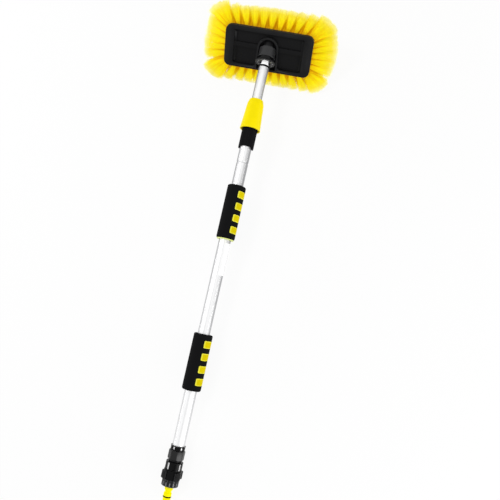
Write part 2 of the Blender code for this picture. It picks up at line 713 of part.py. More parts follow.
def make_valve_ring():
    """Ring that opens and closes the water, with four wide lugs for the fingers."""
    bottom, top = RING_STATION, RING_STATION + VALVE_RING_LENGTH
    profile = tube_profile(VALVE_RING_RADIUS, SPIGOT_RADIUS + GAP, bottom, top)
    ring = piece("valve_ring", turned_mesh("valve_ring", profile), POLE, (0.015, 0.015, 0.016), 0.35)
    inner, lug_top = (SPIGOT_RADIUS + VALVE_RING_RADIUS) / 2, bottom + VALVE_LUG_LENGTH
    band_profile = [
        (inner, lug_top),
        (VALVE_LUG_RADIUS - VALVE_LUG_CHAMFER, lug_top),
        (VALVE_LUG_RADIUS, lug_top - VALVE_LUG_CHAMFER),
        (VALVE_LUG_RADIUS, bottom + GAP),
        (inner, bottom + GAP),
    ]
    band = helper("valve_lug_band", turned_mesh("band", band_profile), POLE)
    reach = VALVE_LUG_RADIUS + OVERRUN
    size = (reach, VALVE_LUG_WIDTH, 2 * VALVE_RING_LENGTH)
    lug = box_mesh("lug", size, (reach / 2, 0, bottom))
    lugs = spread_mesh("lugs", lug, VALVE_LUGS, math.pi / VALVE_LUGS)
    boolean(band, helper("valve_lugs", lugs, POLE), "INTERSECT")
    boolean(ring, band, "UNION")
    settle(ring)


def make_fluted_sleeve():
    bottom, top = FLUTED_STATION, FLUTED_STATION + FLUTED_LENGTH
    profile = tube_profile(FLUTED_RADIUS, SPIGOT_RADIUS + GAP, bottom, top)
    sleeve = piece("fluted_sleeve", turned_mesh("fluted_sleeve", profile), POLE, (0.02, 0.02, 0.021), 0.3)
    depth = FLUTE_DEPTH + OVERRUN
    size = (depth, FLUTE_WIDTH, FLUTED_LENGTH * FLUTE_LENGTH_SHARE)
    middle = (FLUTED_RADIUS - FLUTE_DEPTH + depth / 2, 0, (bottom + top) / 2)
    flute = box_mesh("flute", size, middle, FLUTE_WIDTH * FLUTE_CORNER_SHARE, "X", 1)
    flutes = spread_mesh("flutes", flute, FLUTE_COUNT, math.pi / FLUTE_COUNT)
    boolean(sleeve, helper("flutes", flutes, POLE))
    settle(sleeve)


def make_hex_body():
    """Hexagonal body on a narrow neck: socket for the outer tube, valve chamber and spigot."""
    bottom = HEX_STATION + HEX_NECK_LENGTH
    top = bottom + HEX_LENGTH
    socket, floor = OUTER_TUBE_RADIUS + GAP, OUTER_TUBE_STATION - GAP
    seat = RING_STATION + VALVE_RING_LENGTH / 2
    profile = [
        (HEX_CORNER_RADIUS - HEX_CHAMFER, top),
        (HEX_CORNER_RADIUS, top - HEX_CHAMFER),
        (HEX_CORNER_RADIUS, bottom + HEX_CHAMFER),
        (HEX_CORNER_RADIUS - HEX_CHAMFER, bottom),
        (HEX_NECK_RADIUS, bottom),
        (HEX_NECK_RADIUS, HEX_STATION),
        (SPIGOT_RADIUS, HEX_STATION),
        (SPIGOT_RADIUS, SPIGOT_STATION),
        (VALVE_SEAT_BORE_RADIUS, SPIGOT_STATION),
        (VALVE_SEAT_BORE_RADIUS, seat),
        (CHAMBER_RADIUS, seat + CHAMBER_RADIUS - VALVE_SEAT_BORE_RADIUS),
        (CHAMBER_RADIUS, floor),
        (socket, floor),
        (socket, top),
    ]
    body = piece("hex_body", turned_mesh("hex_body", profile), POLE, (0.02, 0.02, 0.021), 0.35)
    across_corners = HEX_ACROSS_FLATS / math.cos(math.pi / 6)
    prism = rod_mesh("hex", across_corners / 2, SPIGOT_STATION - OVERRUN, top + OVERRUN, 6)
    prism.transform(Matrix.Rotation(HEX_TURN, 4, "Z"))
    boolean(body, helper("hex_prism", prism, POLE), "INTERSECT")
    settle(body)
    make_valve_plug(seat)


def make_valve_plug(seat):
    """Plug that the ring lifts off its seat, grooved so that water passes it when it is open."""
    radius = CHAMBER_RADIUS - GAP
    cone = CHAMBER_RADIUS - VALVE_SEAT_BORE_RADIUS
    bottom = seat + 3 * GAP
    top = bottom + PLUG_LENGTH
    tip = VALVE_SEAT_BORE_RADIUS - GAP
    bore = tip * PLUG_BORE_SHARE
    profile = [
        (radius, top),
        (radius, bottom + cone),
        (tip, bottom),
        (bore, bottom),
        (bore, top),
    ]
    plug = piece("valve_plug", turned_mesh("valve_plug", profile, SMALL_SIDES), POLE, (0.85, 0.85, 0.83), 0.4)
    groove = rod_mesh("groove", PLUG_GROOVE_RADIUS, bottom - OVERRUN, top + OVERRUN, 8)
    groove.transform(Matrix.Translation((radius, 0, 0)))
    grooves = spread_mesh("plug_grooves", groove, PLUG_GROOVES)
    boolean(plug, helper("plug_grooves", grooves, POLE))
    settle(plug)


def make_connector_collar():
    """Clamp collar round the outer tube, with windows through its wall and a flared lip."""
    bottom, top = COLLAR_STATION, COLLAR_STATION + COLLAR_LENGTH
    bore = OUTER_TUBE_RADIUS + GAP
    profile = [
        (COLLAR_LIP_RADIUS, top),
        (COLLAR_RADIUS, (bottom + top) / 2),
        (COLLAR_RADIUS, bottom),
        (bore, bottom),
        (bore, top),
    ]
    mesh = turned_mesh("connector_collar", profile)
    collar = piece("connector_collar", mesh, POLE, (0.02, 0.02, 0.021), 0.35)
    reach = COLLAR_LIP_RADIUS + OVERRUN
    size = (reach, COLLAR_WINDOW_WIDTH, COLLAR_LENGTH * COLLAR_WINDOW_LENGTH_SHARE)
    window = box_mesh("window", size, (reach / 2, 0, (bottom + top) / 2))
    windows = spread_mesh("windows", window, COLLAR_WINDOWS, COLLAR_WINDOW_TURN)
    boolean(collar, helper("collar_windows", windows, POLE))
    settle(collar)


def arch_outline(radius, flare, into_border):
    """Horseshoe outline in the head frame: a half circle whose legs run down to the lower border."""
    lower = -(HEAD_HEIGHT / 2 - END_BORDER + into_border)
    turns = [math.pi * i / ARCH_STEPS for i in range(ARCH_STEPS + 1)]
    crown = [(radius * math.cos(a), ARCH_CENTRE + radius * math.sin(a)) for a in turns]
    return [(radius + flare, lower), *crown, (-radius - flare, lower)]


def along_pole_in_head(mesh):
    """Moves a mesh made along Z, with zero at the head's station, into the head frame."""
    mesh.transform(Matrix.Rotation(HEAD_TILT - math.pi, 4, "X"))
    return mesh


def make_head_back():
    """Moulded back: bordered tray, horseshoe wall, cross ribs, ledges, inclined boss and chamber."""
    size = (HEAD_WIDTH, HEAD_HEIGHT, BACK_DEPTH)
    centre = (0, 0, -BACK_DEPTH / 2)
    shell = box_mesh("head_back", size, centre, HEAD_CORNER_RADIUS, "Z", 5, HEAD_EDGE_ROUND)
    back = piece("head_back", shell, HEAD, (0.012, 0.012, 0.013), 0.45)
    tray_width, tray_height = HEAD_WIDTH - 2 * SIDE_BORDER, HEAD_HEIGHT - 2 * END_BORDER
    tray = box_mesh(
        "tray",
        (tray_width, tray_height, TRAY_DEPTH + OVERRUN),
        (0, 0, (OVERRUN - TRAY_DEPTH) / 2),
        TRAY_CORNER_RADIUS,
        "Z",
        3,
    )
    boolean(back, helper("tray", tray, HEAD))
    for side in (-1, 1):
        add_side_details(back, side, tray_width, tray_height)
    bottom = -TRAY_DEPTH - GAP
    outline = arch_outline(ARCH_RADIUS, ARCH_FLARE, ARCH_INTO_BORDER)
    wall = helper("arch_wall", plate_mesh("arch", outline, bottom, ARCH_ABOVE_RIM), HEAD)
    inside = arch_outline(ARCH_RADIUS - ARCH_WALL, ARCH_FLARE, 2 * ARCH_INTO_BORDER)
    hollow = plate_mesh("arch_inside", inside, 2 * bottom, ARCH_ABOVE_RIM + OVERRUN)
    boolean(wall, helper("arch_inside", hollow, HEAD))
    boolean(back, wall, "UNION")
    add_boss(back)
    settle(back)


def add_side_details(back, side, tray_width, tray_height):
    """Cross rib, ledge, stud and shallow pocket on one side of the horseshoe."""
    reach = tray_width / 2 + GAP
    rib_inner = ARCH_RADIUS - ARCH_WALL / 2
    rib_size = (reach - rib_inner, CROSS_RIB_WIDTH, TRAY_DEPTH - CROSS_RIB_BELOW_RIM + GAP)
    rib_z = -CROSS_RIB_BELOW_RIM - rib_size[2] / 2
    rib = box_mesh("rib", rib_size, (side * (reach + rib_inner) / 2, CROSS_RIB_PLACE, rib_z))
    boolean(back, helper(f"cross_rib_{side}", rib, HEAD), "UNION")
    ledge_height = tray_height - 2 * TRAY_CORNER_RADIUS
    ledge_size = (LEDGE_WIDTH + GAP, ledge_height, TRAY_DEPTH - LEDGE_BELOW_RIM + GAP)
    ledge_x = side * (reach - ledge_size[0] / 2)
    ledge = box_mesh("ledge", ledge_size, (ledge_x, 0, -LEDGE_BELOW_RIM - ledge_size[2] / 2))
    boolean(back, helper(f"ledge_{side}", ledge, HEAD), "UNION")
    stud_x = side * (ARCH_RADIUS + ARCH_FLARE + STUD_SIZE / 2)
    stud_y = -(HEAD_HEIGHT / 2 - END_BORDER)
    stud_size = (STUD_SIZE, STUD_SIZE, STUD_ABOVE_RIM + TRAY_DEPTH + GAP)
    stud_z = STUD_ABOVE_RIM - stud_size[2] / 2
    stud = box_mesh("stud", stud_size, (stud_x, stud_y, stud_z))
    boolean(back, helper(f"stud_{side}", stud, HEAD), "UNION")
    left = ARCH_RADIUS + ARCH_FLARE + POCKET_MARGIN
    right = tray_width / 2 - LEDGE_WIDTH - POCKET_MARGIN / 2
    upper = CROSS_RIB_PLACE - CROSS_RIB_WIDTH / 2 - POCKET_MARGIN / 2
    lower = -tray_height / 2 + POCKET_MARGIN / 2
    pocket_size = (right - left, upper - lower, 2 * POCKET_DEPTH)
    pocket = box_mesh(
        "pocket",
        pocket_size,
        (side * (left + right) / 2, (upper + lower) / 2, -TRAY_DEPTH),
        POCKET_CORNER_RADIUS,
        "Z",
        2,
    )
    boolean(back, helper(f"pocket_{side}", pocket, HEAD))


def add_boss(back):
    """Inclined boss that carries the socket, its water bore and the chamber behind the tray."""
    near = SOCKET_PAST_RIM - BOSS_SOCKET_OVERLAP
    deep = BACK_DEPTH / math.cos(HEAD_TILT) + BOSS_RADIUS
    boss = along_pole_in_head(rod_mesh("boss", BOSS_RADIUS, near, deep, SMALL_SIDES))
    boss_object = helper("boss", boss, HEAD)
    below = (HEAD_WIDTH, HEAD_HEIGHT, HEAD_HEIGHT)
    floor_z = -(TRAY_DEPTH + BACK_DEPTH) / 2
    cut = box_mesh("boss_end", below, (0, 0, floor_z - HEAD_HEIGHT / 2))
    boolean(boss_object, helper("boss_end", cut, HEAD))
    boolean(back, boss_object, "UNION")
    bore = along_pole_in_head(rod_mesh("bore", WATER_BORE_RADIUS, near - OVERRUN, deep, SMALL_SIDES))
    boolean(back, helper("water_bore", bore, HEAD))
    chamber_size = (
        HEAD_WIDTH - 2 * CHAMBER_MARGIN,
        HEAD_HEIGHT - 2 * CHAMBER_MARGIN,
        CHAMBER_DEPTH + OVERRUN,
    )
    chamber_z = -BACK_DEPTH + CHAMBER_DEPTH - chamber_size[2] / 2
    chamber = box_mesh("chamber", chamber_size, (0, 0, chamber_z), HEAD_CORNER_RADIUS, "Z", 3)
    boolean(back, helper("water_chamber", chamber, HEAD))


def make_head_gasket():
    top = -BACK_DEPTH - GAP
    width, height = HEAD_WIDTH - 2 * GASKET_MARGIN, HEAD_HEIGHT - 2 * GASKET_MARGIN
    centre = (0, 0, top - GASKET_LENGTH / 2)
    frame = box_mesh("head_gasket", (width, height, GASKET_LENGTH), centre, HEAD_CORNER_RADIUS, "Z", 4)
    gasket = piece("head_gasket", frame, HEAD, (0.02, 0.02, 0.02), 0.8)
    opening = box_mesh(
        "gasket_opening",
        (width - 2 * GASKET_WIDTH, height - 2 * GASKET_WIDTH, GASKET_LENGTH + 2 * OVERRUN),
        centre,
        HEAD_CORNER_RADIUS / 2,
        "Z",
        3,
    )
    boolean(gasket, helper("gasket_opening", opening, HEAD))
    settle(gasket)


def board_bottom(x, y):
    """Height of the board's crowned underside at a place on it."""
    a, b = 2 * x / HEAD_WIDTH, 2 * y / HEAD_HEIGHT
    edge = -BACK_DEPTH - GASKET_LENGTH - 2 * GAP - BOARD_EDGE_DEPTH
    return edge - BOARD_CROWN * (1 - a**4) * (1 - b**4)


def bristle_direction(x, y):
    """Direction of the bristles at a place on the board: straight down in the middle, fanned at the edges."""
    across = math.tan(SPLAY_SIDE * 2 * x / HEAD_WIDTH)
    along = math.tan(SPLAY_END * 2 * y / HEAD_HEIGHT)
    return Vector((across, along, -1)).normalized()


def bristle_slice_mesh(name, left, right):
    """One slice of the bristle board with its tufts, grown from a grid of cells on its underside."""
    shape = bmesh.new()
    bmesh.ops.create_grid(shape, x_segments=SLICE_COLUMNS, y_segments=BRISTLE_ROWS, size=1)
    for vertex in shape.verts:
        x = (left + right) / 2 + vertex.co.x * (right - left) / 2
        y = vertex.co.y * HEAD_HEIGHT / 2
        vertex.co = (x, y, board_bottom(x, y))
    cells = list(shape.faces)
    grown = bmesh.ops.extrude_face_region(shape, geom=cells, use_keep_orig=True)
    for item in grown["geom"]:
        if isinstance(item, bmesh.types.BMVert):
            item.co.z = -BACK_DEPTH - GASKET_LENGTH - 2 * GAP
    bmesh.ops.recalc_face_normals(shape, faces=shape.faces)
    bmesh.ops.inset_individual(shape, faces=cells, thickness=STRAND_ROOT_WIDTH / 2)
    for cell in cells:
        grow_strand(shape, cell)
    mesh = bpy.data.meshes.new(name)
    shape.to_mesh(mesh)
    shape.free()
    return mesh


def grow_strand(shape, cell):
    """Makes one cell the root of a strand and extrudes it to a wider tip along the fan."""
    root = cell.calc_center_median()
    for vertex in cell.verts:
        way = vertex.co - root
        vertex.co.x = root.x + math.copysign(STRAND_ROOT_WIDTH / 2, way.x)
        vertex.co.y = root.y + math.copysign(STRAND_ROOT_WIDTH / 2, way.y)
    way = bristle_direction(root.x, root.y)
    shorter = EDGE_ROW_SHORTER * (2 * root.y / HEAD_HEIGHT) ** 2
    reach = way * (BRISTLE_LENGTH - shorter)
    made = bmesh.ops.extrude_discrete_faces(shape, faces=[cell])
    tip = made["faces"][0]
    side = way.cross(Vector((0, 1, 0))).normalized()
    upper = side.cross(way)
    for vertex in tip.verts:
        offset = vertex.co - root
        flat = side * math.copysign(STRAND_TIP_WIDTH / 2, offset.x)
        flat += upper * math.copysign(STRAND_TIP_WIDTH / 2, offset.y)
        vertex.co = root + reach + flat


def make_bristle_slices():
    pitch = HEAD_WIDTH / SLICE_COUNT
    made = []
    for index in range(SLICE_COUNT):
        left = -HEAD_WIDTH / 2 + pitch * index + (GAP / 2 if index else 0)
        right = left + pitch - (GAP if 0 < index < SLICE_COUNT - 1 else GAP / 2)
        name = f"bristle_slice_{index + 1}"
        mesh = bristle_slice_mesh(name, left, right)
        made.append(piece(name, mesh, HEAD, (0.98, 0.78, 0.01), 0.6))
    return made


def make_head_socket():
    """Grey socket on the inclined boss, cut off where it would meet the tray's floor."""
    bottom, top = SOCKET_STATION, SOCKET_END
    rear_bore, front_bore = BOSS_RADIUS + GAP, FERRULE_SPIGOT_RADIUS + GAP
    boss_end = SOCKET_END - BOSS_SOCKET_OVERLAP - GAP
    seal = FERRULE_END - FERRULE_SEAL_FROM_END
    half = SEAL_WIDTH / 2 + GAP
    groove = front_bore + SEAL_DEPTH + GAP
    profile = [
        (SOCKET_RADIUS, top),
        (SOCKET_FRONT_RADIUS, bottom + SOCKET_FLANGE_LENGTH),
        (SOCKET_FLANGE_RADIUS, bottom + SOCKET_FLANGE_LENGTH),
        (SOCKET_FLANGE_RADIUS, bottom),
        (SOCKET_NOSE_RADIUS, bottom),
        (SOCKET_NOSE_RADIUS, bottom - SOCKET_NOSE_LENGTH),
        (front_bore, bottom - SOCKET_NOSE_LENGTH),
        (front_bore, seal - half),
        (groove, seal - half),
        (groove, seal + half),
        (front_bore, seal + half),
        (front_bore, boss_end),
        (rear_bore, boss_end),
        (rear_bore, top),
    ]
    socket = piece("pole_socket", turned_mesh("pole_socket", profile), POLE, (0.062, 0.062, 0.064), 0.45)
    size = (HEAD_WIDTH, HEAD_HEIGHT, HEAD_HEIGHT)
    floor = box_mesh("floor_cut", size, (0, 0, GAP - TRAY_DEPTH - HEAD_HEIGHT / 2))
    boolean(socket, helper("socket_floor_cut", floor, HEAD))
    settle(socket)
    ring = turned_mesh("socket_seal", seal_profile(front_bore, seal), SMALL_SIDES)
    settle(piece("socket_seal", ring, POLE, (0.01, 0.01, 0.01), 0.6))


def make_socket_nut():
    """Flared nut that clamps the tube's end in the socket, with a bevelled mouth."""
    bottom, top = HEAD_NUT_STATION, HEAD_NUT_STATION + NUT_LENGTH
    bore = SOCKET_NOSE_RADIUS + GAP
    lip = bottom + NUT_LIP_LENGTH
    profile = [
        (NUT_REAR_RADIUS, top),
        (NUT_FACE_RADIUS, bottom + NUT_BEVEL_DEPTH),
        (NUT_FACE_RADIUS - NUT_BEVEL_DEPTH, bottom),
        (NUT_BEVEL_RADIUS, bottom),
        (NUT_MOUTH_RADIUS, bottom + NUT_BEVEL_DEPTH),
        (NUT_MOUTH_RADIUS, lip),
        (bore, lip),
        (bore, top),
    ]
    mesh = turned_mesh("socket_nut", profile)
    ribbed(mesh, NUT_REAR_RADIUS, NUT_BEVELS, NUT_BEVEL_DEPTH / 2, bottom, top, SIDES)
    settle(piece("socket_nut", mesh, POLE, (0.014, 0.014, 0.015), 0.28))


def make_tube_ferrule():
    """Tapered end piece pressed in the inner tube, and the black ring round its root."""
    plug = INNER_TUBE_RADIUS - TUBE_WALL - GAP
    cone_top = CONE_STATION + FERRULE_CONE_LENGTH
    profile = [
        (FERRULE_SPIGOT_RADIUS, FERRULE_END),
        (FERRULE_SPIGOT_RADIUS, cone_top),
        (FERRULE_CONE_RADIUS, CONE_STATION),
        (plug, CONE_STATION - GAP),
        (plug, INNER_TUBE_TOP - FERRULE_PLUG_LENGTH),
        (FERRULE_BORE_RADIUS, INNER_TUBE_TOP - FERRULE_PLUG_LENGTH),
        (FERRULE_BORE_RADIUS, FERRULE_END),
    ]
    mesh = turned_mesh("tube_ferrule", profile)
    settle(piece("tube_ferrule", mesh, POLE, (0.88, 0.88, 0.89), 0.25, 1.0))
    ring = tube_profile(RING_RADIUS, plug + GAP, RIM_RING_STATION, RIM_RING_STATION + RING_LENGTH)
    settle(piece("ferrule_ring", turned_mesh("ferrule_ring", ring), POLE, (0.01, 0.01, 0.01), 0.5))


def points_in_pole(obj):
    """The object's corners in the pole frame, from its own mesh."""
    points = np.empty(len(obj.data.vertices) * 3)
    obj.data.vertices.foreach_get("co", points)
    matrix = np.array(POLE.matrix_world.inverted() @ obj.matrix_world)
    return points.reshape(-1, 3) @ matrix[:3, :3].T + matrix[:3, 3]


def lay_on_floor(slices):
    """Tips the pole until the valve ring and the lowest bristles share a plane, and puts the middle of
    the whole brush's footprint at the origin with the floor at zero."""
    bpy.context.view_layer.update()
    ring = points_in_pole(bpy.data.objects["valve_ring"])
    tufts = np.concatenate([points_in_pole(obj) for obj in slices])
    lowest = ring[ring[:, 1] > ring[:, 1].max() - GAP]
    foot = lowest[lowest[:, 2].argmin()]
    slopes = (tufts[:, 1] - FLOOR_CUT - foot[1]) / (tufts[:, 2] - foot[2])
    slope = math.atan(slopes.max())
    POLE.rotation_euler = (slope - math.pi / 2, 0, 0)
    POLE.location = (0, 0, foot[1] * math.cos(slope) - foot[2] * math.sin(slope))
    bpy.context.view_layer.update()
    for obj in slices:
        flatten_on_floor(obj)
    corners = [obj.matrix_world @ v.co for obj in PARTS.objects if obj.data for v in obj.data.vertices]
    along = [corner.y for corner in corners]
    POLE.location.y -= (min(along) + max(along)) / 2
    bpy.context.view_layer.update()


def flatten_on_floor(obj):
    """Bends the tips that would reach below the floor up to it."""
    inverse = obj.matrix_world.inverted()
    for vertex in obj.data.vertices:
        world = obj.matrix_world @ vertex.co
        if world.z < 0:
            vertex.co = inverse @ Vector((world.x, world.y, 0))


clear_scene()
PARTS = collection("car_wash_brush")
CUTTERS = collection("cutters", hidden=True)
POLE = empty("pole_frame")
HEAD = empty("head_frame", POLE, (0, 0, HEAD_STATION), math.pi - HEAD_TILT)

make_outer_tube()
make_inner_tube()
make_inner_tube_guide()
make_grip("lower_grip", LOWER_GRIP_STATION)
make_grip("upper_grip", UPPER_GRIP_STATION)
make_grip_end_ring()
make_lock_collar()
make_lock_sleeve()
make_hose_nipple()
make_union_nut()
make_valve_ring()
make_fluted_sleeve()
make_hex_body()
make_connector_collar()
make_tube_ferrule()
make_head_socket()
make_socket_nut()
make_head_back()
make_head_gasket()
lay_on_floor(make_bristle_slices())
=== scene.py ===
"""Looks of the telescopic car wash brush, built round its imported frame.

Metres throughout. Turned pieces are drawn in the pole's own frame: Z runs along the pole from the
hose inlet to the head, X is the right side and -Y is up. The head has a frame of its own: X right,
Y towards its upper edge and Z out of its moulded back, with zero in the plane of the rim.
"""

import json
from math import atan2, ceil, copysign, cos, hypot, pi, radians, sin

import bmesh
import bpy
import numpy as np
from mathutils import Matrix, Vector


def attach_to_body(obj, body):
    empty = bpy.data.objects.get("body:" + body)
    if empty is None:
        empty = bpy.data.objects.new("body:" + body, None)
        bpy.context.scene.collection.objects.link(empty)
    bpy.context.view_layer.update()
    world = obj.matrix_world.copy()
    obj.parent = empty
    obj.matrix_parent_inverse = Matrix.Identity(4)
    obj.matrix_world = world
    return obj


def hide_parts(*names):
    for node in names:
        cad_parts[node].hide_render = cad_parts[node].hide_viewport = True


# Smoothness of the turned pieces
SIDES = 128
FINE_SIDES = 288
CELL = 0.001
FINE_CELL = 0.0004
FILLET_STEPS = 4
BEVEL_SEGMENTS = 3
SMOOTH_ANGLE = radians(38)
WELD = 1e-6

# Fillets, soft steps and clearances that many pieces share
HAIR = 0.0002
FINE = 0.0003
SMALL = 0.0004
TRIM = 0.0005
ROUND = 0.0006
SOFT = 0.0008
WIDE = 0.001
BROAD = 0.0012
SEAT = 0.0003
FACET_ROUND = 0.00035

# Tubes and label
TUBE_WALL = 0.001
CRIMP_FROM_TOP = 0.0966
CRIMP_WIDTH = 0.0035
CRIMP_DEPTH = 0.0013
LABEL_LENGTH = 0.0677
LABEL_WIDTH = 0.0165
LABEL_CORNER_SHARE = 0.02
LABEL_THICKNESS = 0.00012
LABEL_STATION = 0.4895
LABEL_TURN = radians(47) - pi / 2

# Foam grips and their inserts
GRIP_EDGE_ROUND = 0.0042
GRIP_CELL = 0.0007
POCKET_DEPTH = 0.0024
POCKET_LIP = 0.0007
POCKET_GAP = 0.00035
FOAM_UNEVENNESS = 0.00012
FOAM_CLOUDS = 0.012
INSERT_TURN = radians(59) - pi / 2
INSERT_DOME = 0.0009
INSERT_WALL = 0.0026
INSERT_CORNER = 0.0022
INSERT_COUNT = 4
# Painted highlight just inside each insert's rim
INSERT_HIGHLIGHT_RIM = 0.82
INSERT_HIGHLIGHT_BLEND = 0.2

# Twist lock
COLLAR_RIBS = 8
COLLAR_RIB_DEPTH = 0.0011
COLLAR_BODY_LENGTH = 0.045
COLLAR_NECK_RADIUS = 0.0148
COLLAR_NOTCH_DEPTH = 0.003
COLLAR_NOTCH_REACH = 1.6
COLLAR_NOTCH_WIDTH = 0.0255
COLLAR_NOTCH_RAMP = 0.0016
SLEEVE_LIP_LENGTH = 0.0022
SLEEVE_LIP_PROUD = 0.0004
SLEEVE_MOUTH_BORE = 0.0187
SLEEVE_MOUTH_DEPTH = 0.003
SLEEVE_NECK_BORE = 0.0151
SLEEVE_SHOULDER_RADIUS = 0.0176
SLEEVE_SHOULDER_ROUND = 0.0022
SLEEVE_SHOULDER_LENGTH = 0.0095
SLEEVE_TOP_RADIUS = 0.0145
SLEEVE_TOP_BORE = 0.0111

# Hose end
NIPPLE_BORE_RADIUS = 0.0045
NIPPLE_TIP_RADIUS = 0.0068
NIPPLE_TIP_LENGTH = 0.002
NIPPLE_TIP_TAPER = 0.93
NIPPLE_HEAD_RADIUS = 0.008
NIPPLE_WAIST_RADIUS = 0.00625
NIPPLE_SHOULDER_RADIUS = 0.0083
NIPPLE_LENGTH = 0.033
NIPPLE_WAIST_SHARES = (0.555, 0.63, 0.68, 0.79)
NIPPLE_SEAL_WIDTH = 0.0024
NIPPLE_SEAL_DEPTH = 0.0018
NUT_LIP = 0.0022
NUT_EDGE_ROUND = 0.0014
NUT_RIDGES = 14
NUT_RIDGE_DEPTH = 0.0009
NUT_RIDGE_START = 0.0016
NUT_RIDGE_TURN = radians(-81.3)
NUT_PROUD = 0.0008
# Painted glints along the union nut's ridges
NUT_GLINT_WIDTH = 0.0012
NUT_GLINT_FROM_END = 0.0052
NUT_GLINT_HALF_LENGTH = 0.0032
SPIGOT_RADIUS = 0.0125
SPIGOT_CLEARANCE = 0.0004
SPIGOT_BORE = 0.005
RING_RADIUS = 0.0178
RING_LUGS = 4
RING_LUG_LENGTH = 0.0165
RING_LUG_CHAMFER = 0.0012
RING_LUG_WIDTH = 0.0155
RING_LUG_TURN = radians(-48)
RING_LUG_GROOVES = 5
RING_LUG_GROOVE_DEPTH = 0.0004
FLUTES = 8
FLUTE_TURN = radians(11.7)
FLUTE_WIDTH = 0.0044
FLUTE_CORNER = 0.0014
FLUTE_DEPTH = 0.0024
FLUTE_LENGTH_SHARE = 0.82
HEX_NECK_RADIUS = 0.0128
HEX_NECK_LENGTH = 0.0043
HEX_FLATS = 8
HEX_ACROSS_FLATS = 0.0306
HEX_CORNER_ROUND = 0.001
HEX_CHAMFER = 0.0013
HEX_TURN = radians(13)
COLLAR_WINDOWS = 5
COLLAR_CELLS = 16
WINDOW_TURN = radians(27)
WINDOW_WIDTH = 0.0052
WINDOW_EDGE_ANGLE = radians(50)
WINDOW_LENGTH_SHARE = 0.6
COLLAR_RADIUS = 0.0136
COLLAR_LIP_RADIUS = 0.0141
COLLAR_WALL = 0.0007

# Head
HEAD_TILT = radians(45)
NUT_REAR_RADIUS = 0.0196
NUT_BEVEL_RADIUS = 0.0158
NUT_MOUTH_RADIUS = 0.0112
NUT_BEVELS = 12
NUT_BEVEL_DEPTH = 0.0012
NUT_FACET_DEPTH = 0.0003
# Painted glints at the flared nut's bevel corners
NUT_SHINE_FROM = 0.86
NUT_SHINE_BLEND = 0.2
NUT_FACE_WALL = 0.0024
SOCKET_REAR_RADIUS = 0.0183
SOCKET_FRONT_RADIUS = 0.0176
SOCKET_FLANGE_LENGTH = 0.0022
CUTTER_SIZE = 0.2
RIM_RING_RADIUS = 0.0126
FERRULE_CONE_RADIUS = 0.0099
FERRULE_MOUTH_RADIUS = 0.0071
FERRULE_SPIGOT_RADIUS = 0.0068
FERRULE_CONE_LENGTH = 0.0104
FERRULE_MOUTH_SHARE = 0.7
FERRULE_BORE = 0.005
HEAD_CORNER_RADIUS = 0.013
HEAD_EDGE_ANGLE = radians(35)
HEAD_FLAT_ANGLE = radians(1)
HEAD_WELD = 1e-5

# Bristles
TUFT_PITCH = 0.0175
TUFT_ROW_PITCH = 0.005
TUFT_MARGIN = 0.0035
TUFT_ROOT_RADIUS = 0.0023
TUFT_SIDE_TIP = 0.0112
TUFT_MIDDLE_TIP = 0.0042
TUFT_END_TIP = 0.0042
TUFT_CORNER_TIP = 0.001
# From this share of a tuft's half width outwards, its bristles get painted shade
TUFT_SHADE_BORDER = 0.74
TUFT_DEPTH_SHARE = 0.35
TUFT_FLARE_POWER = 0.95
CORNER_TUFTS = 3
BRISTLES_IN_TUFT = 250
BRISTLE_LENGTH = 0.06
BRISTLE_START = 0.001
BRISTLE_CUTS = 3
LEFT_LONGER = 0.0162
RIGHT_LONGER = 0.0135
UPPER_LEFT_SHORTER = 0.0045
LOWER_LONGER = 0.004
LOWER_LEFT_LONGER = 0.016
EDGE_ROW_SHORTER = 0.0165
TUFT_RIM_SHORTER = 0.05
LENGTH_SPREAD_SHARE = 0.11
BRISTLE_WIDTH = 0.00062
BRISTLE_TIP_SHARE = 0.45
BRISTLE_BEND = 0.0035
# Painted light: the bristles glow in their own colour
BRISTLE_PAINTED_GLOW = 0.13
# The orange colours near the root are painted shade; the pale last stops are the split tips
BRISTLE_COLOURS = (
    (0.0, (0.8, 0.42, 0.001)),
    (0.26, (0.98, 0.78, 0.003)),
    (0.55, (0.99, 0.88, 0.008)),
    (0.8, (0.99, 0.88, 0.05)),
    (1.0, (0.99, 0.94, 0.4)),
)
# Painted shade for bristles inside the rows and at the tufts' borders
INNER_SHADE_COLOUR = (0.84, 0.48, 0.001, 1)
INNER_SHADE_AT_SIDES = 0.9
CLUMPS_IN_TUFT = 9
CLUMP_PULL = 0.45
SPLAY_SIDE = radians(70)
SPLAY_END = radians(77)
BOARD_EDGE = 0.0024
BOARD_CROWN = 0.0055
BOARD_INSET = 0.001
FLOOR_REST = 0.003

# Painted shade and a painted reflection band on the tubes, in shares of the tube's radius to the right and in
# metres along Y
TUBE_EDGE_SHADE = (0.34, 0.34, 0.35, 1)
EDGE_SHADE_FACING = (0.08, 0.6)
SHADE_ASIDE = (0.22, 0.95)
SHADE_ALONG = (-0.42, 0.12)
REFLECTION_BAND_ASIDE = 0.05
REFLECTION_BAND_HALF_WIDTH = 0.13

# Camera, as the photograph was taken
IMAGE_WIDTH = 500
CAMERA_FOCUS = 550
CAMERA_STATION = 0.393
CAMERA_DISTANCE = 1.129
CAMERA_ROUND = radians(8.7)
AIM_STATION = 0.5213
AIM_ASIDE = 0.055
POLE_LEAN = radians(12.43)

# Floor and light: each lamp's name, place, aim, size, strip width and power
FLOOR_SIZE = 4
FLOOR_DROP = 0.0003
FLOOR_GREY = (0.92, 0.92, 0.92, 1)
FLOOR_GLOW = 0.9
WHITE = (1, 1, 1, 1)
AMBIENT = 0.7
LAMPS = (
    ("key", (-0.9, 0.25, 1.7), (0, 0.05, 0), 0.5, None, 7.0),
    ("fill", (1.3, -0.95, 0.7), (0, -0.45, 0), 0.6, None, 4.0),
    ("left strip", (-1.25, 0.05, 0.32), (0, 0.05, 0.05), 2.4, 0.08, 3.8),
    ("right strip", (1.25, 0.05, 0.27), (0, 0.05, 0.05), 2.4, 0.12, 5.0),
)

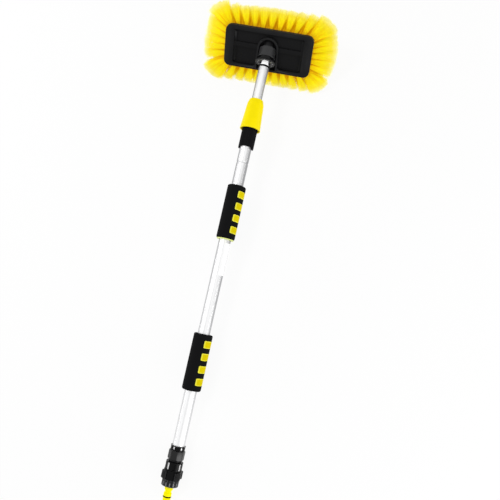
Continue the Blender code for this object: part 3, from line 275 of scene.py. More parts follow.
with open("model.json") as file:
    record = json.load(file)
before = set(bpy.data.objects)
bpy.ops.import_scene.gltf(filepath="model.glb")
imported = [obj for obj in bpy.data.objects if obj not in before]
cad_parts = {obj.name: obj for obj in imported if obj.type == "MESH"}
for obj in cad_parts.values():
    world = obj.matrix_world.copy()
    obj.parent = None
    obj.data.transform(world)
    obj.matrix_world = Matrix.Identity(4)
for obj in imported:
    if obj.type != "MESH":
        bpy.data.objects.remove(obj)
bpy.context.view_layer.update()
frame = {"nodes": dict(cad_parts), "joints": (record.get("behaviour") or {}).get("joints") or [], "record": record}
RECORD = frame["record"]
JOINTS = {joint["name"]: joint for joint in frame["joints"]}
BODY_OF = {node: body for body, nodes in RECORD["behaviour"]["bodies"].items() for node in nodes}


def pole_matrix():
    """The pole's frame, from the hose inlet's face."""
    inlet = RECORD["mounts"][0]
    right = Vector((1, 0, 0))
    along = -Vector(inlet["axis"]).normalized()
    matrix = Matrix((right, along.cross(right), along)).transposed().to_4x4()
    matrix.translation = (0, *inlet["pos_m"][1:])
    return matrix


def head_matrix():
    """The head's frame, where the head turns on the pole's axis."""
    station = (POLE.inverted() @ Vector(JOINTS["head_turn"]["pos_m"])).z
    return POLE @ Matrix.Translation((0, 0, station)) @ Matrix.Rotation(pi - HEAD_TILT, 4, "X")


def points_of(node, place):
    """A CAD node's corners in the pole's or the head's frame."""
    points = np.array([v.co for v in frame["nodes"][node].data.vertices])
    inverse = np.array(place.inverted())
    return points @ inverse[:3, :3].T + inverse[:3, 3]


def span(node):
    """First and last station of a node on the pole, and its largest radius."""
    points = points_of(node, POLE)
    radius = np.hypot(points[:, 0], points[:, 1]).max()
    return float(points[:, 2].min()), float(points[:, 2].max()), float(radius)


POLE = pole_matrix()
HEAD = head_matrix()
HALF_WIDTH, HALF_HEIGHT = (float(x) / 2 for x in np.ptp(points_of("head_back", HEAD), axis=0)[:2])
BOARD_RIM = float(points_of("head_gasket", HEAD)[:, 2].min()) - BOARD_EDGE


# Shaders

def feed(node, inputs):
    """Sets a node's inputs, or joins them to other nodes' outputs."""
    for name, value in inputs.items():
        if isinstance(value, bpy.types.NodeSocket):
            node.id_data.links.new(value, node.inputs[name])
        else:
            node.inputs[name].default_value = value


def add(tree, kind, inputs, **settings):
    """A new shader node with its settings and inputs."""
    node = tree.nodes.new("ShaderNode" + kind)
    for name, value in settings.items():
        setattr(node, name, value)
    feed(node, inputs)
    return node


def maths(tree, operation, *values):
    """The result of an operation on numbers or on other nodes' outputs."""
    return add(tree, "Math", dict(enumerate(values)), operation=operation).outputs[0]


def reached(tree, value, start, end):
    """How far a value has come from start to end, from 0 to 1."""
    return add(tree, "MapRange", {"Value": value, "From Min": start, "From Max": end}).outputs[0]


def varied(tree, value, low, high):
    """A value from low to high that follows a mask."""
    return add(tree, "MapRange", {"Value": value, "To Min": low, "To Max": high}).outputs[0]


def mixed(tree, share, first, second):
    """A colour between two colours."""
    return add(tree, "Mix", {"Factor": share, 6: first, 7: second}, data_type="RGBA").outputs[2]


def noise(tree, place, scale, detail):
    return add(tree, "TexNoise", {"Vector": place, "Scale": scale, "Detail": detail}).outputs["Fac"]


def attribute(tree, name):
    return add(tree, "Attribute", {}, attribute_name=name).outputs["Fac"]


def own_place(tree):
    return add(tree, "TexCoord", {}).outputs["Object"]


def new_group(name, inputs, outputs):
    """A shader node group: each input has a number or a colour as its default."""
    tree = bpy.data.node_groups.new(name, "ShaderNodeTree")
    for label, default in inputs.items():
        kind = "NodeSocketColor" if isinstance(default, tuple) else "NodeSocketFloat"
        tree.interface.new_socket(label, in_out="INPUT", socket_type=kind).default_value = default
    for label in outputs:
        kind = "NodeSocketColor" if label == "Colour" else "NodeSocketFloat"
        tree.interface.new_socket(label, in_out="OUTPUT", socket_type=kind)
    return tree, tree.nodes.new("NodeGroupInput").outputs, tree.nodes.new("NodeGroupOutput")


def surface_group():
    """Moulded surface: uneven colour, polish, fine grain, edges made lighter by use and by painted glints, and
    painted highlights and glints in another colour on chosen places.
    """
    grey = (0.5, 0.5, 0.5, 1)
    inputs = {
        "Colour": grey, "Wear and glint colour": grey, "Painted light colour": grey, "Painted light share": 0.0,
        "Roughness": 0.4, "Grain scale": 1500.0, "Wear and glint": 0.3,
    }
    tree, given, out = new_group("moulded surface", inputs, ("Colour", "Roughness", "Height"))
    place = own_place(tree)
    patches = noise(tree, place, 45.0, 4.0)
    edge = reached(tree, add(tree, "NewGeometry", {}).outputs["Pointiness"], 0.51, 0.58)
    # Lighter convex edges: partly real use, partly painted glints.
    wear_and_glint = maths(tree, "MULTIPLY", maths(tree, "MULTIPLY", edge, patches), given["Wear and glint"])
    shade = add(tree, "HueSaturation", {"Color": given["Colour"], "Value": varied(tree, patches, 0.9, 1.1)})
    # Painted light: highlights and glints in another colour on the piece's chosen places.
    painted_light_share = maths(tree, "MULTIPLY", attribute(tree, "painted_light_share"), given["Painted light share"])
    base = mixed(tree, painted_light_share, shade.outputs[0], given["Painted light colour"])
    feed(out, {
        "Colour": mixed(tree, wear_and_glint, base, given["Wear and glint colour"]),
        "Roughness": maths(tree, "ADD", given["Roughness"], varied(tree, patches, -0.06, 0.06)),
        "Height": noise(tree, place, given["Grain scale"], 2.0),
    })
    return tree


def streaks_and_shade_group():
    """Drawn tube: fine streaks along the pole, smudges, painted shade on the right side and a painted reflection
    as a dim band.
    """
    inputs = {"Colour": (0.9, 0.9, 0.9, 1), "Roughness": 0.3, "Radius": 0.0125, "Shade": 0.3, "Reflection band": 0.1}
    tree, given, out = new_group("drawn tube", inputs, ("Colour", "Roughness", "Height", "Edge shade"))
    place = own_place(tree)
    tilt = atan2(POLE[2][2], POLE[1][2])
    drawn = add(tree, "Mapping", {"Vector": place, "Rotation": (-tilt, 0, 0), "Scale": (1, 0.02, 1)})
    lines = noise(tree, drawn.outputs[0], 900.0, 3.0)
    smudges = noise(tree, place, 26.0, 5.0)
    parts = add(tree, "SeparateXYZ", {0: place}).outputs
    aside = maths(tree, "DIVIDE", parts["X"], given["Radius"])
    upper = reached(tree, parts["Y"], *SHADE_ALONG)
    # Painted shade: the right side is darker, more so further along Y.
    strong = maths(tree, "MULTIPLY", upper, given["Shade"])
    painted_darkening = maths(tree, "MULTIPLY", reached(tree, aside, *SHADE_ASIDE), strong)
    # Painted reflection: a dim band near the middle of the tube.
    in_reflection_band = maths(tree, "COMPARE", aside, REFLECTION_BAND_ASIDE, REFLECTION_BAND_HALF_WIDTH)
    painted_darkening = maths(tree, "ADD", painted_darkening, maths(tree, "MULTIPLY", in_reflection_band, given["Reflection band"]))
    light = maths(tree, "SUBTRACT", varied(tree, lines, 0.96, 1.03), painted_darkening)
    feed(out, {
        "Colour": add(tree, "HueSaturation", {"Color": given["Colour"], "Value": light}).outputs[0],
        "Roughness": maths(tree, "ADD", given["Roughness"], varied(tree, smudges, -0.07, 0.07)),
        "Height": lines,
        # How strong the painted edge shade is, growing further along Y.
        "Edge shade": varied(tree, upper, 0.35, 1.0),
    })
    return tree


SURFACE = surface_group()
STREAKS_AND_SHADE = streaks_and_shade_group()


def new_material(name):
    """An empty material with its tree and its shader."""
    made = bpy.data.materials.new(name)
    made.use_nodes = True
    return made, made.node_tree, made.node_tree.nodes["Principled BSDF"]


def surfaced(tree, shader, kind, inputs, depth):
    """Feeds a group's colour, roughness and height to the shader."""
    group = add(tree, "Group", inputs, node_tree=kind).outputs
    bump = add(tree, "Bump", {"Height": group["Height"], "Distance": depth}).outputs[0]
    feed(shader, {"Base Color": group["Colour"], "Roughness": group["Roughness"], "Normal": bump})
    return group


def moulded(
    name, colour, roughness, wear_and_glint_colour=None, wear_and_glint=0.3,
    grain=1500.0, depth=0.00002, shine=0.15, painted_light=None, glow=0.0,
):
    """Moulded plastic or rubber, with painted highlights and glints in another colour on chosen places, and a
    painted glow where one is given.
    """
    made, tree, shader = new_material(name)
    inputs = {"Roughness": roughness, "Grain scale": grain, "Wear and glint": wear_and_glint}
    inputs.update({"Colour": (*colour, 1), "Wear and glint colour": (*(wear_and_glint_colour or colour), 1)})
    if painted_light:
        inputs.update({"Painted light share": 1.0, "Painted light colour": (*painted_light, 1)})
    group = surfaced(tree, shader, SURFACE, inputs, depth)
    feed(shader, {"Specular IOR Level": shine})
    # Painted light: the finish glows in its own colour, though it is no lamp.
    if glow:
        feed(shader, {"Emission Color": group["Colour"], "Emission Strength": glow})
    return made


def drawn_metal(name, colour, roughness, metal, radius, shade, reflection_band=0.0):
    """Drawn aluminium tube, with painted shade: darker where the surface turns away."""
    made, tree, shader = new_material(name)
    inputs = {"Colour": (*colour, 1), "Roughness": roughness, "Radius": radius, "Shade": shade}
    group = surfaced(tree, shader, STREAKS_AND_SHADE, {**inputs, "Reflection band": reflection_band}, 0.000002)
    # Painted shade: the colour greys towards the edges that turn away from view.
    facing = add(tree, "LayerWeight", {"Blend": 0.5}).outputs["Facing"]
    edge = maths(tree, "MULTIPLY", reached(tree, facing, *EDGE_SHADE_FACING), group["Edge shade"])
    shaded = mixed(tree, edge, group["Colour"], TUBE_EDGE_SHADE)
    feed(shader, {"Metallic": metal, "Base Color": shaded})
    return made


def bristle_finish():
    """Yellow bristles: a darker orange at the root as painted shade, inside the rows and at tuft borders too,
    bright along their length, pale at the split tips, with a painted glow.
    """
    made, tree, shader = new_material("bristle yellow")
    along, strand, inner = (attribute(tree, name) for name in ("along", "strand", "inner"))
    ramped = add(tree, "ValToRGB", {"Fac": along})
    stops = ramped.color_ramp.elements
    while len(stops) < len(BRISTLE_COLOURS):
        stops.new(0.5)
    for stop, (place, colour) in zip(stops, BRISTLE_COLOURS):
        stop.position = place
        stop.color = (*colour, 1)
    # Painted shade: a deeper orange inside the rows and at tuft borders, strongest towards the root.
    shaded_share = maths(tree, "MULTIPLY", inner, reached(tree, along, 0.85, 0.35))
    rows = mixed(tree, shaded_share, ramped.outputs[0], INNER_SHADE_COLOUR)
    shade = add(tree, "HueSaturation", {"Color": rows, "Value": varied(tree, strand, 0.84, 1.08)}).outputs[0]
    feed(shader, {
        "Base Color": shade,
        "Roughness": varied(tree, strand, 0.42, 0.62),
        # Painted light: the bristles glow in their own colour, though they are no lamp.
        "Emission Color": shade,
        "Emission Strength": BRISTLE_PAINTED_GLOW,
        "Specular IOR Level": 0.05,
    })
    return made


def foam_finish():
    """Closed-cell foam: matt black skin with open pores."""
    made, tree, shader = new_material("foam black")
    place = own_place(tree)
    cells = add(tree, "TexVoronoi", {"Vector": place, "Scale": 1100.0}).outputs["Distance"]
    clouds = noise(tree, place, 60.0, 5.0)
    pores = reached(tree, cells, 0.0, 0.5)
    bump = add(tree, "Bump", {"Height": pores, "Distance": 0.00008, "Strength": 0.6})
    feed(shader, {
        "Base Color": mixed(tree, clouds, (0.002, 0.002, 0.0022, 1), (0.0055, 0.0055, 0.006, 1)),
        "Roughness": varied(tree, clouds, 0.78, 0.95),
        "Normal": bump.outputs[0],
        "Specular IOR Level": 0.1,
    })
    return made


# Both tubes carry painted shade; the outer one also a painted reflection band.
TUBE_SATIN = drawn_metal("tube satin", (0.955, 0.955, 0.96), 0.38, 0.55, 0.0125, 0.78, 0.12)
TUBE_BRIGHT = drawn_metal("tube bright", (0.99, 0.99, 0.99), 0.44, 0.5, 0.0107, 0.58)
# Painted light: the white cone glows a little, though it is no lamp.
CONE_WHITE = moulded("cone white", (0.98, 0.98, 0.98), 0.45, glow=0.45)
SLEEVE_YELLOW = moulded("sleeve yellow", (0.99, 0.81, 0.001), 0.36, (0.99, 0.86, 0.1), 0.5, shine=0.05)
# Painted light: the nipple glows faintly, though it is no lamp.
NIPPLE_YELLOW = moulded(
    "nipple yellow", (0.98, 0.9, 0.002), 0.3, (0.98, 0.94, 0.2), 0.4, shine=0.02, glow=0.08
)
# Painted highlight: paler yellow just inside each insert's rim.
INSERT_YELLOW = moulded(
    "insert yellow", (0.69, 0.56, 0.001), 0.55, (0.97, 0.93, 0.2), 0.6,
    grain=2600.0, depth=0.00003, shine=0.02, painted_light=(0.95, 0.9, 0.06),
)
RING_LIME = moulded("ring lime", (0.86, 0.95, 0.3), 0.45)
COLLAR_BLACK = moulded("collar black", (0.0085, 0.0085, 0.009), 0.45, (0.03, 0.03, 0.032), 0.7, shine=0.01)
HEX_BLACK = moulded("hex black", (0.0015, 0.0015, 0.0017), 0.26, (0.03, 0.03, 0.032), 0.7, shine=0.31)
# Painted highlight: white at the bottom of every other flute.
BLACK_SATIN = moulded(
    "black satin", (0.0015, 0.0015, 0.0017), 0.28, (0.04, 0.04, 0.042), 0.7, shine=0.1, painted_light=(1.0, 1.0, 1.0)
)
# Painted glints: pale edges and pale lines along the union nut's ridges.
BLACK_GLOSS = moulded(
    "black gloss", (0.0012, 0.0012, 0.0014), 0.13, (0.4, 0.4, 0.41), 1.0, shine=0.22, painted_light=(0.26, 0.26, 0.27)
)
# Painted glints at the corners of the flared nut's bevel.
NUT_BLACK = moulded(
    "nut black", (0.003, 0.003, 0.0032), 0.22, (0.04, 0.04, 0.042), 0.7, shine=0.12, painted_light=(0.5, 0.5, 0.5)
)
# Lighter edges: partly real use, partly painted glints.
BLACK_HEAD = moulded(
    "black head", (0.008, 0.008, 0.0085), 0.42, (0.07, 0.07, 0.072), 1.0,
    grain=2200.0, depth=0.00004, shine=0.06,
)
SOCKET_GREY = moulded("socket grey", (0.024, 0.024, 0.025), 0.34, (0.1, 0.1, 0.1), 0.6, shine=0.3)
SEAL_BLACK = moulded("seal black", (0.002, 0.002, 0.002), 0.5, shine=0.05)
BUSH_BLACK = moulded("bush black", (0.02, 0.02, 0.02), 0.45)
NYLON_WHITE = moulded("nylon white", (0.82, 0.82, 0.8), 0.4)
LABEL_WHITE = moulded("label white", (0.97, 0.97, 0.97), 0.4, wear_and_glint=0.0)
FOAM_BLACK = foam_finish()
BRISTLE_YELLOW = bristle_finish()


# Modelling helpers

def ring(low, high, radius, bore, edge, bore_edge=0):
    """Corners of a plain ring with its outer and inner fillets."""
    return [(radius, high, edge), (radius, low, edge), (bore, low, bore_edge), (bore, high, bore_edge)]


def rounded(corners):
    """A closed profile of (radius, station) points from (radius, station, fillet) corners."""
    made = []
    for index, (radius, station, fillet) in enumerate(corners):
        here = Vector((radius, station))
        before = Vector(corners[index - 1][:2]) - here
        after = Vector(corners[(index + 1) % len(corners)][:2]) - here
        reach = min(fillet, before.length / 2.1, after.length / 2.1)
        if reach < WELD:
            made.append(here)
            continue
        start, end = here + before.normalized() * reach, here + after.normalized() * reach
        for step in range(FILLET_STEPS + 1):
            t = step / FILLET_STEPS
            made.append(start * (1 - t) ** 2 + here * (2 * t * (1 - t)) + end * t**2)
    return made


def divided(profile, low, high, cell):
    """The profile with its long runs between two stations cut in cells."""
    made = []
    for index, here in enumerate(profile):
        after = profile[(index + 1) % len(profile)]
        made.append(here)
        inside = low - WELD <= min(here.y, after.y) and max(here.y, after.y) <= high + WELD
        count = ceil((after - here).length / cell) if inside else 1
        made += [here.lerp(after, step / count) for step in range(1, count)]
    return made


def outward(shape):
    bmesh.ops.recalc_face_normals(shape, faces=shape.faces)


def grid(columns, rows, size):
    """A flat grid that reaches as far as size to each side."""
    shape = bmesh.new()
    bmesh.ops.create_grid(shape, x_segments=columns, y_segments=rows, size=size)
    return shape


def prism(sides, low, high, radius, top):
    """A prism or a blunt cone about Z, and its upright edges."""
    shape, depth = bmesh.new(), high - low
    bmesh.ops.create_cone(
        shape, cap_ends=True, segments=sides, radius1=radius, radius2=top,
        depth=depth, matrix=Matrix.Translation((0, 0, (high + low) / 2)),
    )
    return shape, [e for e in shape.edges if abs(e.verts[0].co.z - e.verts[1].co.z) > depth / 2]


def spin(shape, verts, edges, sides):
    """Turns verts and edges once round Z."""
    geom = verts + edges
    bmesh.ops.spin(shape, geom=geom, axis=(0, 0, 1), angle=2 * pi, steps=sides, use_merge=True)


def spun(profile, sides=SIDES):
    """A ring turned about Z from a closed profile of (radius, station) points."""
    shape = bmesh.new()
    verts = [shape.verts.new((point[0], 0, point[1])) for point in profile]
    edges = [shape.edges.new((verts[index - 1], verts[index])) for index in range(len(verts))]
    spin(shape, verts, edges, sides)
    outward(shape)
    return shape


def fine_spun(corners, low, high, cell=CELL):
    """A finely divided turned ring, ready for ribs or grooves between two stations."""
    return spun(divided(rounded(corners), low, high, cell), FINE_SIDES)


def ramp(distance, width=FINE):
    """0 outside, 1 inside, with a soft step about a signed distance in metres."""
    t = min(1.0, max(0.0, 0.5 - distance / width))
    return t * t * (3 - 2 * t)


def nearest(angle, turn, count):
    """Angle from the nearest of a number of even places, one of them at turn."""
    step = 2 * pi / count
    return (angle - turn + step / 2) % step - step / 2


def soften(x, y, half_x, half_y, corner):
    """A place in a rectangle, drawn in where the rectangle's corners are round."""
    past_x, past_y = abs(x) - half_x + corner, abs(y) - half_y + corner
    if min(past_x, past_y) <= 0:
        return x, y
    share = max(past_x, past_y) / hypot(past_x, past_y)
    soft_x, soft_y = half_x - corner + past_x * share, half_y - corner + past_y * share
    return copysign(soft_x, x), copysign(soft_y, y)


def corner_distance(across, along, half_across, half_along, corner):
    """Signed distance to a rounded rectangle's outline, less than 0 inside it."""
    x, y = abs(across) - half_across + corner, abs(along) - half_along + corner
    return hypot(max(x, 0), max(y, 0)) + min(max(x, y), 0) - corner


def polar(place):
    """Radius, angle and station of a place in the pole's frame."""
    return hypot(place.x, place.y), atan2(place.y, place.x), place.z


def push_out(shape, radius_from, push):
    """Moves the outer wall's corners along their radius by push(angle, station)."""
    for v in shape.verts:
        radius, angle, station = polar(v.co)
        if radius >= radius_from:
            v.co.xy = v.co.xy * (1 + push(angle, station) / radius)


def linked(name, data):
    """A new object in the scene, at the origin."""
    made = bpy.data.objects.new(name, data)
    bpy.context.scene.collection.objects.link(made)
    return made


def mesh_of(name, shape):
    mesh = bpy.data.meshes.new(name)
    shape.to_mesh(mesh)
    shape.free()
    return mesh


def made_object(name, shape, place):
    """An object at the origin, with the shape's place in its mesh."""
    mesh = mesh_of(name, shape)
    mesh.transform(place)
    return linked(name, mesh)


def coat(piece, finish):
    """Gives a piece its finish, smooth between its sharp edges."""
    piece.data.materials.clear()
    piece.data.materials.append(finish)
    piece.data.shade_smooth()
    piece.data.set_sharp_from_angle(angle=SMOOTH_ANGLE)


def attach(piece, finish, node):
    """Gives a piece its finish, and a node's body."""
    coat(piece, finish)
    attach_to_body(piece, BODY_OF[node])


def dress(piece, finish, node):
    """Attaches a piece that stands for a node."""
    attach(piece, finish, node)
    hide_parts(node)


def pole_piece(name, shape, finish, node, painted_light=None):
    """A piece on the pole, with an optional function of radius, angle and station that gives the share of its
    finish's painted light colour.
    """
    shares = [painted_light(*polar(v.co)) for v in shape.verts] if painted_light else []
    piece = made_object(name, shape, POLE)
    if painted_light:
        piece.data.attributes.new("painted_light_share", "FLOAT", "POINT").data.foreach_set("value", shares)
    dress(piece, finish, node)


def turned_piece(name, corners, finish, node):
    pole_piece(name, spun(rounded(corners)), finish, node)


def modify(piece, kind, **settings):
    """Changes a piece's own mesh with one modifier."""
    made = piece.modifiers.new(kind, kind)
    for name, value in settings.items():
        setattr(made, name, value)
    bpy.context.view_layer.update()
    graph = bpy.context.evaluated_depsgraph_get()
    mesh = bpy.data.meshes.new_from_object(piece.evaluated_get(graph))
    piece.modifiers.clear()
    piece.data = mesh


def bevel(piece, width, angle=SMOOTH_ANGLE):
    """Rounds a piece's sharp edges."""
    modify(piece, "BEVEL", width=width, segments=BEVEL_SEGMENTS, limit_method="ANGLE", angle_limit=angle)


def cut(piece, other, operation="DIFFERENCE"):
    """Cuts a piece with another, which goes."""
    modify(piece, "BOOLEAN", operation=operation, solver="EXACT", object=other)
    bpy.data.objects.remove(other)


# Tubes

def make_tubes():
    """The outer tube with its rolled crimp, and the inner tube."""
    low, high, radius = span("outer_tube")
    inner, crimp, half = radius - TUBE_WALL, high - CRIMP_FROM_TOP, CRIMP_WIDTH / 2
    corners = [
        (radius, high, HAIR), (radius, crimp + half, half), (radius - CRIMP_DEPTH, crimp, half),
        (radius, crimp - half, half), (radius, low, HAIR), (inner, low, 0), (inner, high, 0),
    ]
    turned_piece("outer_tube_shell", corners, TUBE_SATIN, "outer_tube")
    low, high, radius = span("inner_tube")
    corners = ring(low, high, radius, radius - TUBE_WALL, FINE)
    turned_piece("inner_tube_shell", corners, TUBE_BRIGHT, "inner_tube")


def make_label():
    """Bare sticker wrapped on the outer tube's right side."""
    radius = span("outer_tube")[2] + LABEL_THICKNESS / 4
    shape = grid(24, 48, 0.5)
    corners = [v for v in shape.verts if abs(v.co.x) > 0.499 and abs(v.co.y) > 0.499]
    bmesh.ops.bevel(
        shape, geom=corners, offset=LABEL_CORNER_SHARE, segments=3,
        affect="VERTICES", profile=0.5, material=-1,
    )
    for v in shape.verts:
        turn = LABEL_TURN + v.co.x * LABEL_WIDTH / radius
        station = LABEL_STATION + v.co.y * LABEL_LENGTH
        v.co = (radius * cos(turn), radius * sin(turn), station)
    outward(shape)
    bmesh.ops.solidify(shape, geom=shape.faces[:], thickness=-LABEL_THICKNESS)
    outward(shape)
    label = made_object("bare_label", shape, POLE)
    coat(label, LABEL_WHITE)
    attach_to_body(label, BODY_OF["outer_tube"])


# Grips

def insert_places(grip):
    """Middle station, half length and half angle of each of a grip's inserts."""
    places = []
    for index in range(INSERT_COUNT):
        points = points_of(f"{grip}_insert_{index + 1}", POLE)
        angles = np.arctan2(points[:, 1], points[:, 0]) - INSERT_TURN
        low, high = points[:, 2].min(), points[:, 2].max()
        outer = np.hypot(points[:, 0], points[:, 1]) > span(grip)[2] - WELD
        places.append(((low + high) / 2, (high - low) / 2, np.abs(angles[outer]).max()))
    return places


def make_grip(grip):
    """Foam grip with a pocket for each insert, and the inserts."""
    low, high, radius = span(grip)
    bore = span("outer_tube")[2] + POCKET_GAP / 2
    profile = divided(rounded(ring(low, high, radius, bore, GRIP_EDGE_ROUND, SMALL)), low, high, GRIP_CELL)
    outer = [p for p in profile if p.x > bore + WELD or p.y in (low, high)]
    shape = spun([*outer, Vector((bore, low)), Vector((bore, high))], int(2 * pi * radius / GRIP_CELL))
    places = insert_places(grip)

    def pocket(angle, station):
        across = (angle - INSERT_TURN) * radius
        sunk = 0.0
        for middle, half, reach in places:
            sides = reach * radius + POCKET_GAP, half + POCKET_GAP
            distance = corner_distance(across, station - middle, *sides, INSERT_CORNER + POCKET_GAP)
            sunk += POCKET_DEPTH * ramp(distance - POCKET_LIP / 2, POCKET_LIP)
        return -sunk

    push_out(shape, radius - GRIP_EDGE_ROUND, pocket)
    piece = made_object(f"{grip}_foam", shape, POLE)
    clouds = bpy.data.textures.new("foam clouds", "CLOUDS")
    clouds.noise_scale = FOAM_CLOUDS
    modify(piece, "DISPLACE", texture=clouds, texture_coords="LOCAL", strength=FOAM_UNEVENNESS)
    dress(piece, FOAM_BLACK, grip)
    for index, place in enumerate(places):
        make_insert(f"{grip}_insert_{index + 1}", *place, radius)


def make_insert(node, middle, half, reach, radius):
    """Domed insert with rounded corners, bent round the grip, with a painted highlight just inside its rim."""
    shape = grid(32, 26, 1)
    for vertex in shape.verts:
        u, v = vertex.co.x, vertex.co.y
        across, along = soften(u * reach * radius, v * half, reach * radius, half, INSERT_CORNER)
        edge = max(abs(u), abs(v))
        r = radius + INSERT_DOME * (1 - edge**5 - 0.5 * edge**14)
        turn = INSERT_TURN + across / radius
        vertex.co = (r * cos(turn), r * sin(turn), middle + along)
    outward(shape)
    out = sum((f.normal.dot(Vector((*f.calc_center_median().xy, 0))) for f in shape.faces), 0.0)
    if out < 0:
        bmesh.ops.reverse_faces(shape, faces=shape.faces)
    bmesh.ops.solidify(shape, geom=shape.faces[:], thickness=INSERT_WALL)
    outward(shape)

    # Painted highlight: paler just inside the insert's rim.
    def pale(_, angle, station):
        rim = max(abs(angle - INSERT_TURN) / reach, abs(station - middle) / half)
        return ramp(INSERT_HIGHLIGHT_RIM - rim, INSERT_HIGHLIGHT_BLEND)

    pole_piece(f"{node}_cap", shape, INSERT_YELLOW, node, pale)


def make_end_ring():
    low, high, radius = span("upper_grip_end_ring")
    bore = span("outer_tube")[2] + POCKET_GAP / 2
    corners = [(radius, high, ROUND), (radius, low, ROUND), (bore, low, FINE), (bore, high, 0)]
    turned_piece("upper_grip_trim", corners, RING_LIME, "upper_grip_end_ring")


# Twist lock

def make_lock_collar():
    """Ribbed collar with a neck, notched in its lower edge."""
    low, high, radius = span("lock_collar")
    bore, shoulder = span("outer_tube")[2] + HAIR, low + COLLAR_BODY_LENGTH
    corners = [
        (COLLAR_NECK_RADIUS, high, SMALL), (COLLAR_NECK_RADIUS, shoulder, HAIR),
        (radius, shoulder, ROUND), (radius, low, SOFT), (bore, low, FINE), (bore, high, 0),
    ]
    shape = fine_spun(corners, low, shoulder)

    def rib(angle, station):
        wave = cos(COLLAR_RIBS * angle) * radius / COLLAR_RIBS
        return -COLLAR_RIB_DEPTH * ramp(wave, BROAD) if station < shoulder + WELD else 0

    push_out(shape, radius - CELL, rib)
    for v in shape.verts:
        share = ramp(abs(v.co.x) - COLLAR_NOTCH_WIDTH / 2, COLLAR_NOTCH_RAMP)
        above = max(0.0, 1 - (v.co.z - low) / (COLLAR_NOTCH_DEPTH * COLLAR_NOTCH_REACH))
        v.co.z += COLLAR_NOTCH_DEPTH * share * above
    pole_piece("ribbed_collar", shape, COLLAR_BLACK, "lock_collar")


def make_lock_sleeve():
    low, high, radius = span("lock_sleeve")
    mouth, shoulder = radius - SLEEVE_LIP_PROUD, high - SLEEVE_SHOULDER_LENGTH
    corners = [
        (SLEEVE_TOP_RADIUS, high, SOFT), (SLEEVE_SHOULDER_RADIUS, shoulder, SLEEVE_SHOULDER_ROUND),
        (mouth, low + SLEEVE_LIP_LENGTH, FINE), (radius, low + SLEEVE_LIP_LENGTH, FINE),
        (radius, low, TRIM), (SLEEVE_MOUTH_BORE, low, TRIM),
        (SLEEVE_MOUTH_BORE, low + SLEEVE_MOUTH_DEPTH, FINE),
        (SLEEVE_NECK_BORE, low + 2 * SLEEVE_MOUTH_DEPTH, FINE),
        (SLEEVE_NECK_BORE, shoulder, WIDE), (SLEEVE_TOP_BORE, shoulder, FINE),
        (SLEEVE_TOP_BORE, high, SMALL),
    ]
    turned_piece("twist_sleeve", corners, SLEEVE_YELLOW, "lock_sleeve")


# Hose end

def make_hose_nipple():
    """The quick-coupling nipple, with its seal ring in its groove."""
    low, high, _ = span("hose_nipple")
    seal_low, seal_high, seal_radius = span("nipple_seal")
    seal, half = (seal_low + seal_high) / 2, NIPPLE_SEAL_WIDTH / 2
    places = (low + NIPPLE_LENGTH * share for share in NIPPLE_WAIST_SHARES)
    head_end, waist_low, waist_high, shoulder = places
    groove = seal_radius - NIPPLE_SEAL_DEPTH
    corners = [
        (NIPPLE_SHOULDER_RADIUS, high, 0), (NIPPLE_SHOULDER_RADIUS, shoulder, TRIM),
        (NIPPLE_WAIST_RADIUS, waist_high, BROAD), (NIPPLE_WAIST_RADIUS, waist_low, BROAD),
        (NIPPLE_HEAD_RADIUS, head_end, SOFT), (NIPPLE_HEAD_RADIUS, seal + half, FINE),
        (groove, seal + half, 0), (groove, seal - half, 0),
        (NIPPLE_HEAD_RADIUS, seal - half, FINE),
        (NIPPLE_TIP_RADIUS, low + NIPPLE_TIP_LENGTH, WIDE),
        (NIPPLE_TIP_RADIUS * NIPPLE_TIP_TAPER, low, TRIM), (NIPPLE_BORE_RADIUS, low, SMALL),
        (NIPPLE_BORE_RADIUS, high, 0),
    ]
    turned_piece("quick_nipple", corners, NIPPLE_YELLOW, "hose_nipple")
    corners = ring(seal - half, seal + half, seal_radius, groove, half, half / 2)
    turned_piece("nipple_o_ring", corners, SEAL_BLACK, "nipple_seal")


def make_union_nut():
    """Glossy ridged nut, with a painted glint along each ridge."""
    low, high, radius = span("union_nut")
    radius += NUT_PROUD
    mouth, lip = NIPPLE_SHOULDER_RADIUS + SEAT, low + NUT_LIP
    corners = [
        (radius, high, SMALL), (radius, low, NUT_EDGE_ROUND), (mouth, low, SMALL), (mouth, lip, 0),
        (SPIGOT_RADIUS, lip, 0), (SPIGOT_RADIUS, high, 0),
    ]
    shape = fine_spun(corners, low, high)

    def ridge(angle, station):
        flat = ramp(cos(NUT_RIDGES * (angle - NUT_RIDGE_TURN)) * radius / NUT_RIDGES, SOFT)
        return -NUT_RIDGE_DEPTH * flat * ramp(low + NUT_RIDGE_START - station, WIDE)

    # Painted glint along each ridge.
    def glint(r, angle, station):
        aside = abs(nearest(angle, NUT_RIDGE_TURN, NUT_RIDGES)) * radius
        ends = ramp(abs(station - low - NUT_GLINT_FROM_END) - NUT_GLINT_HALF_LENGTH, WIDE)
        return ramp(aside - NUT_GLINT_WIDTH / 2, ROUND) * ends * (r > radius - SMALL)

    push_out(shape, radius - NUT_RIDGE_START, ridge)
    pole_piece("ridged_nut", shape, BLACK_GLOSS, "union_nut", glint)


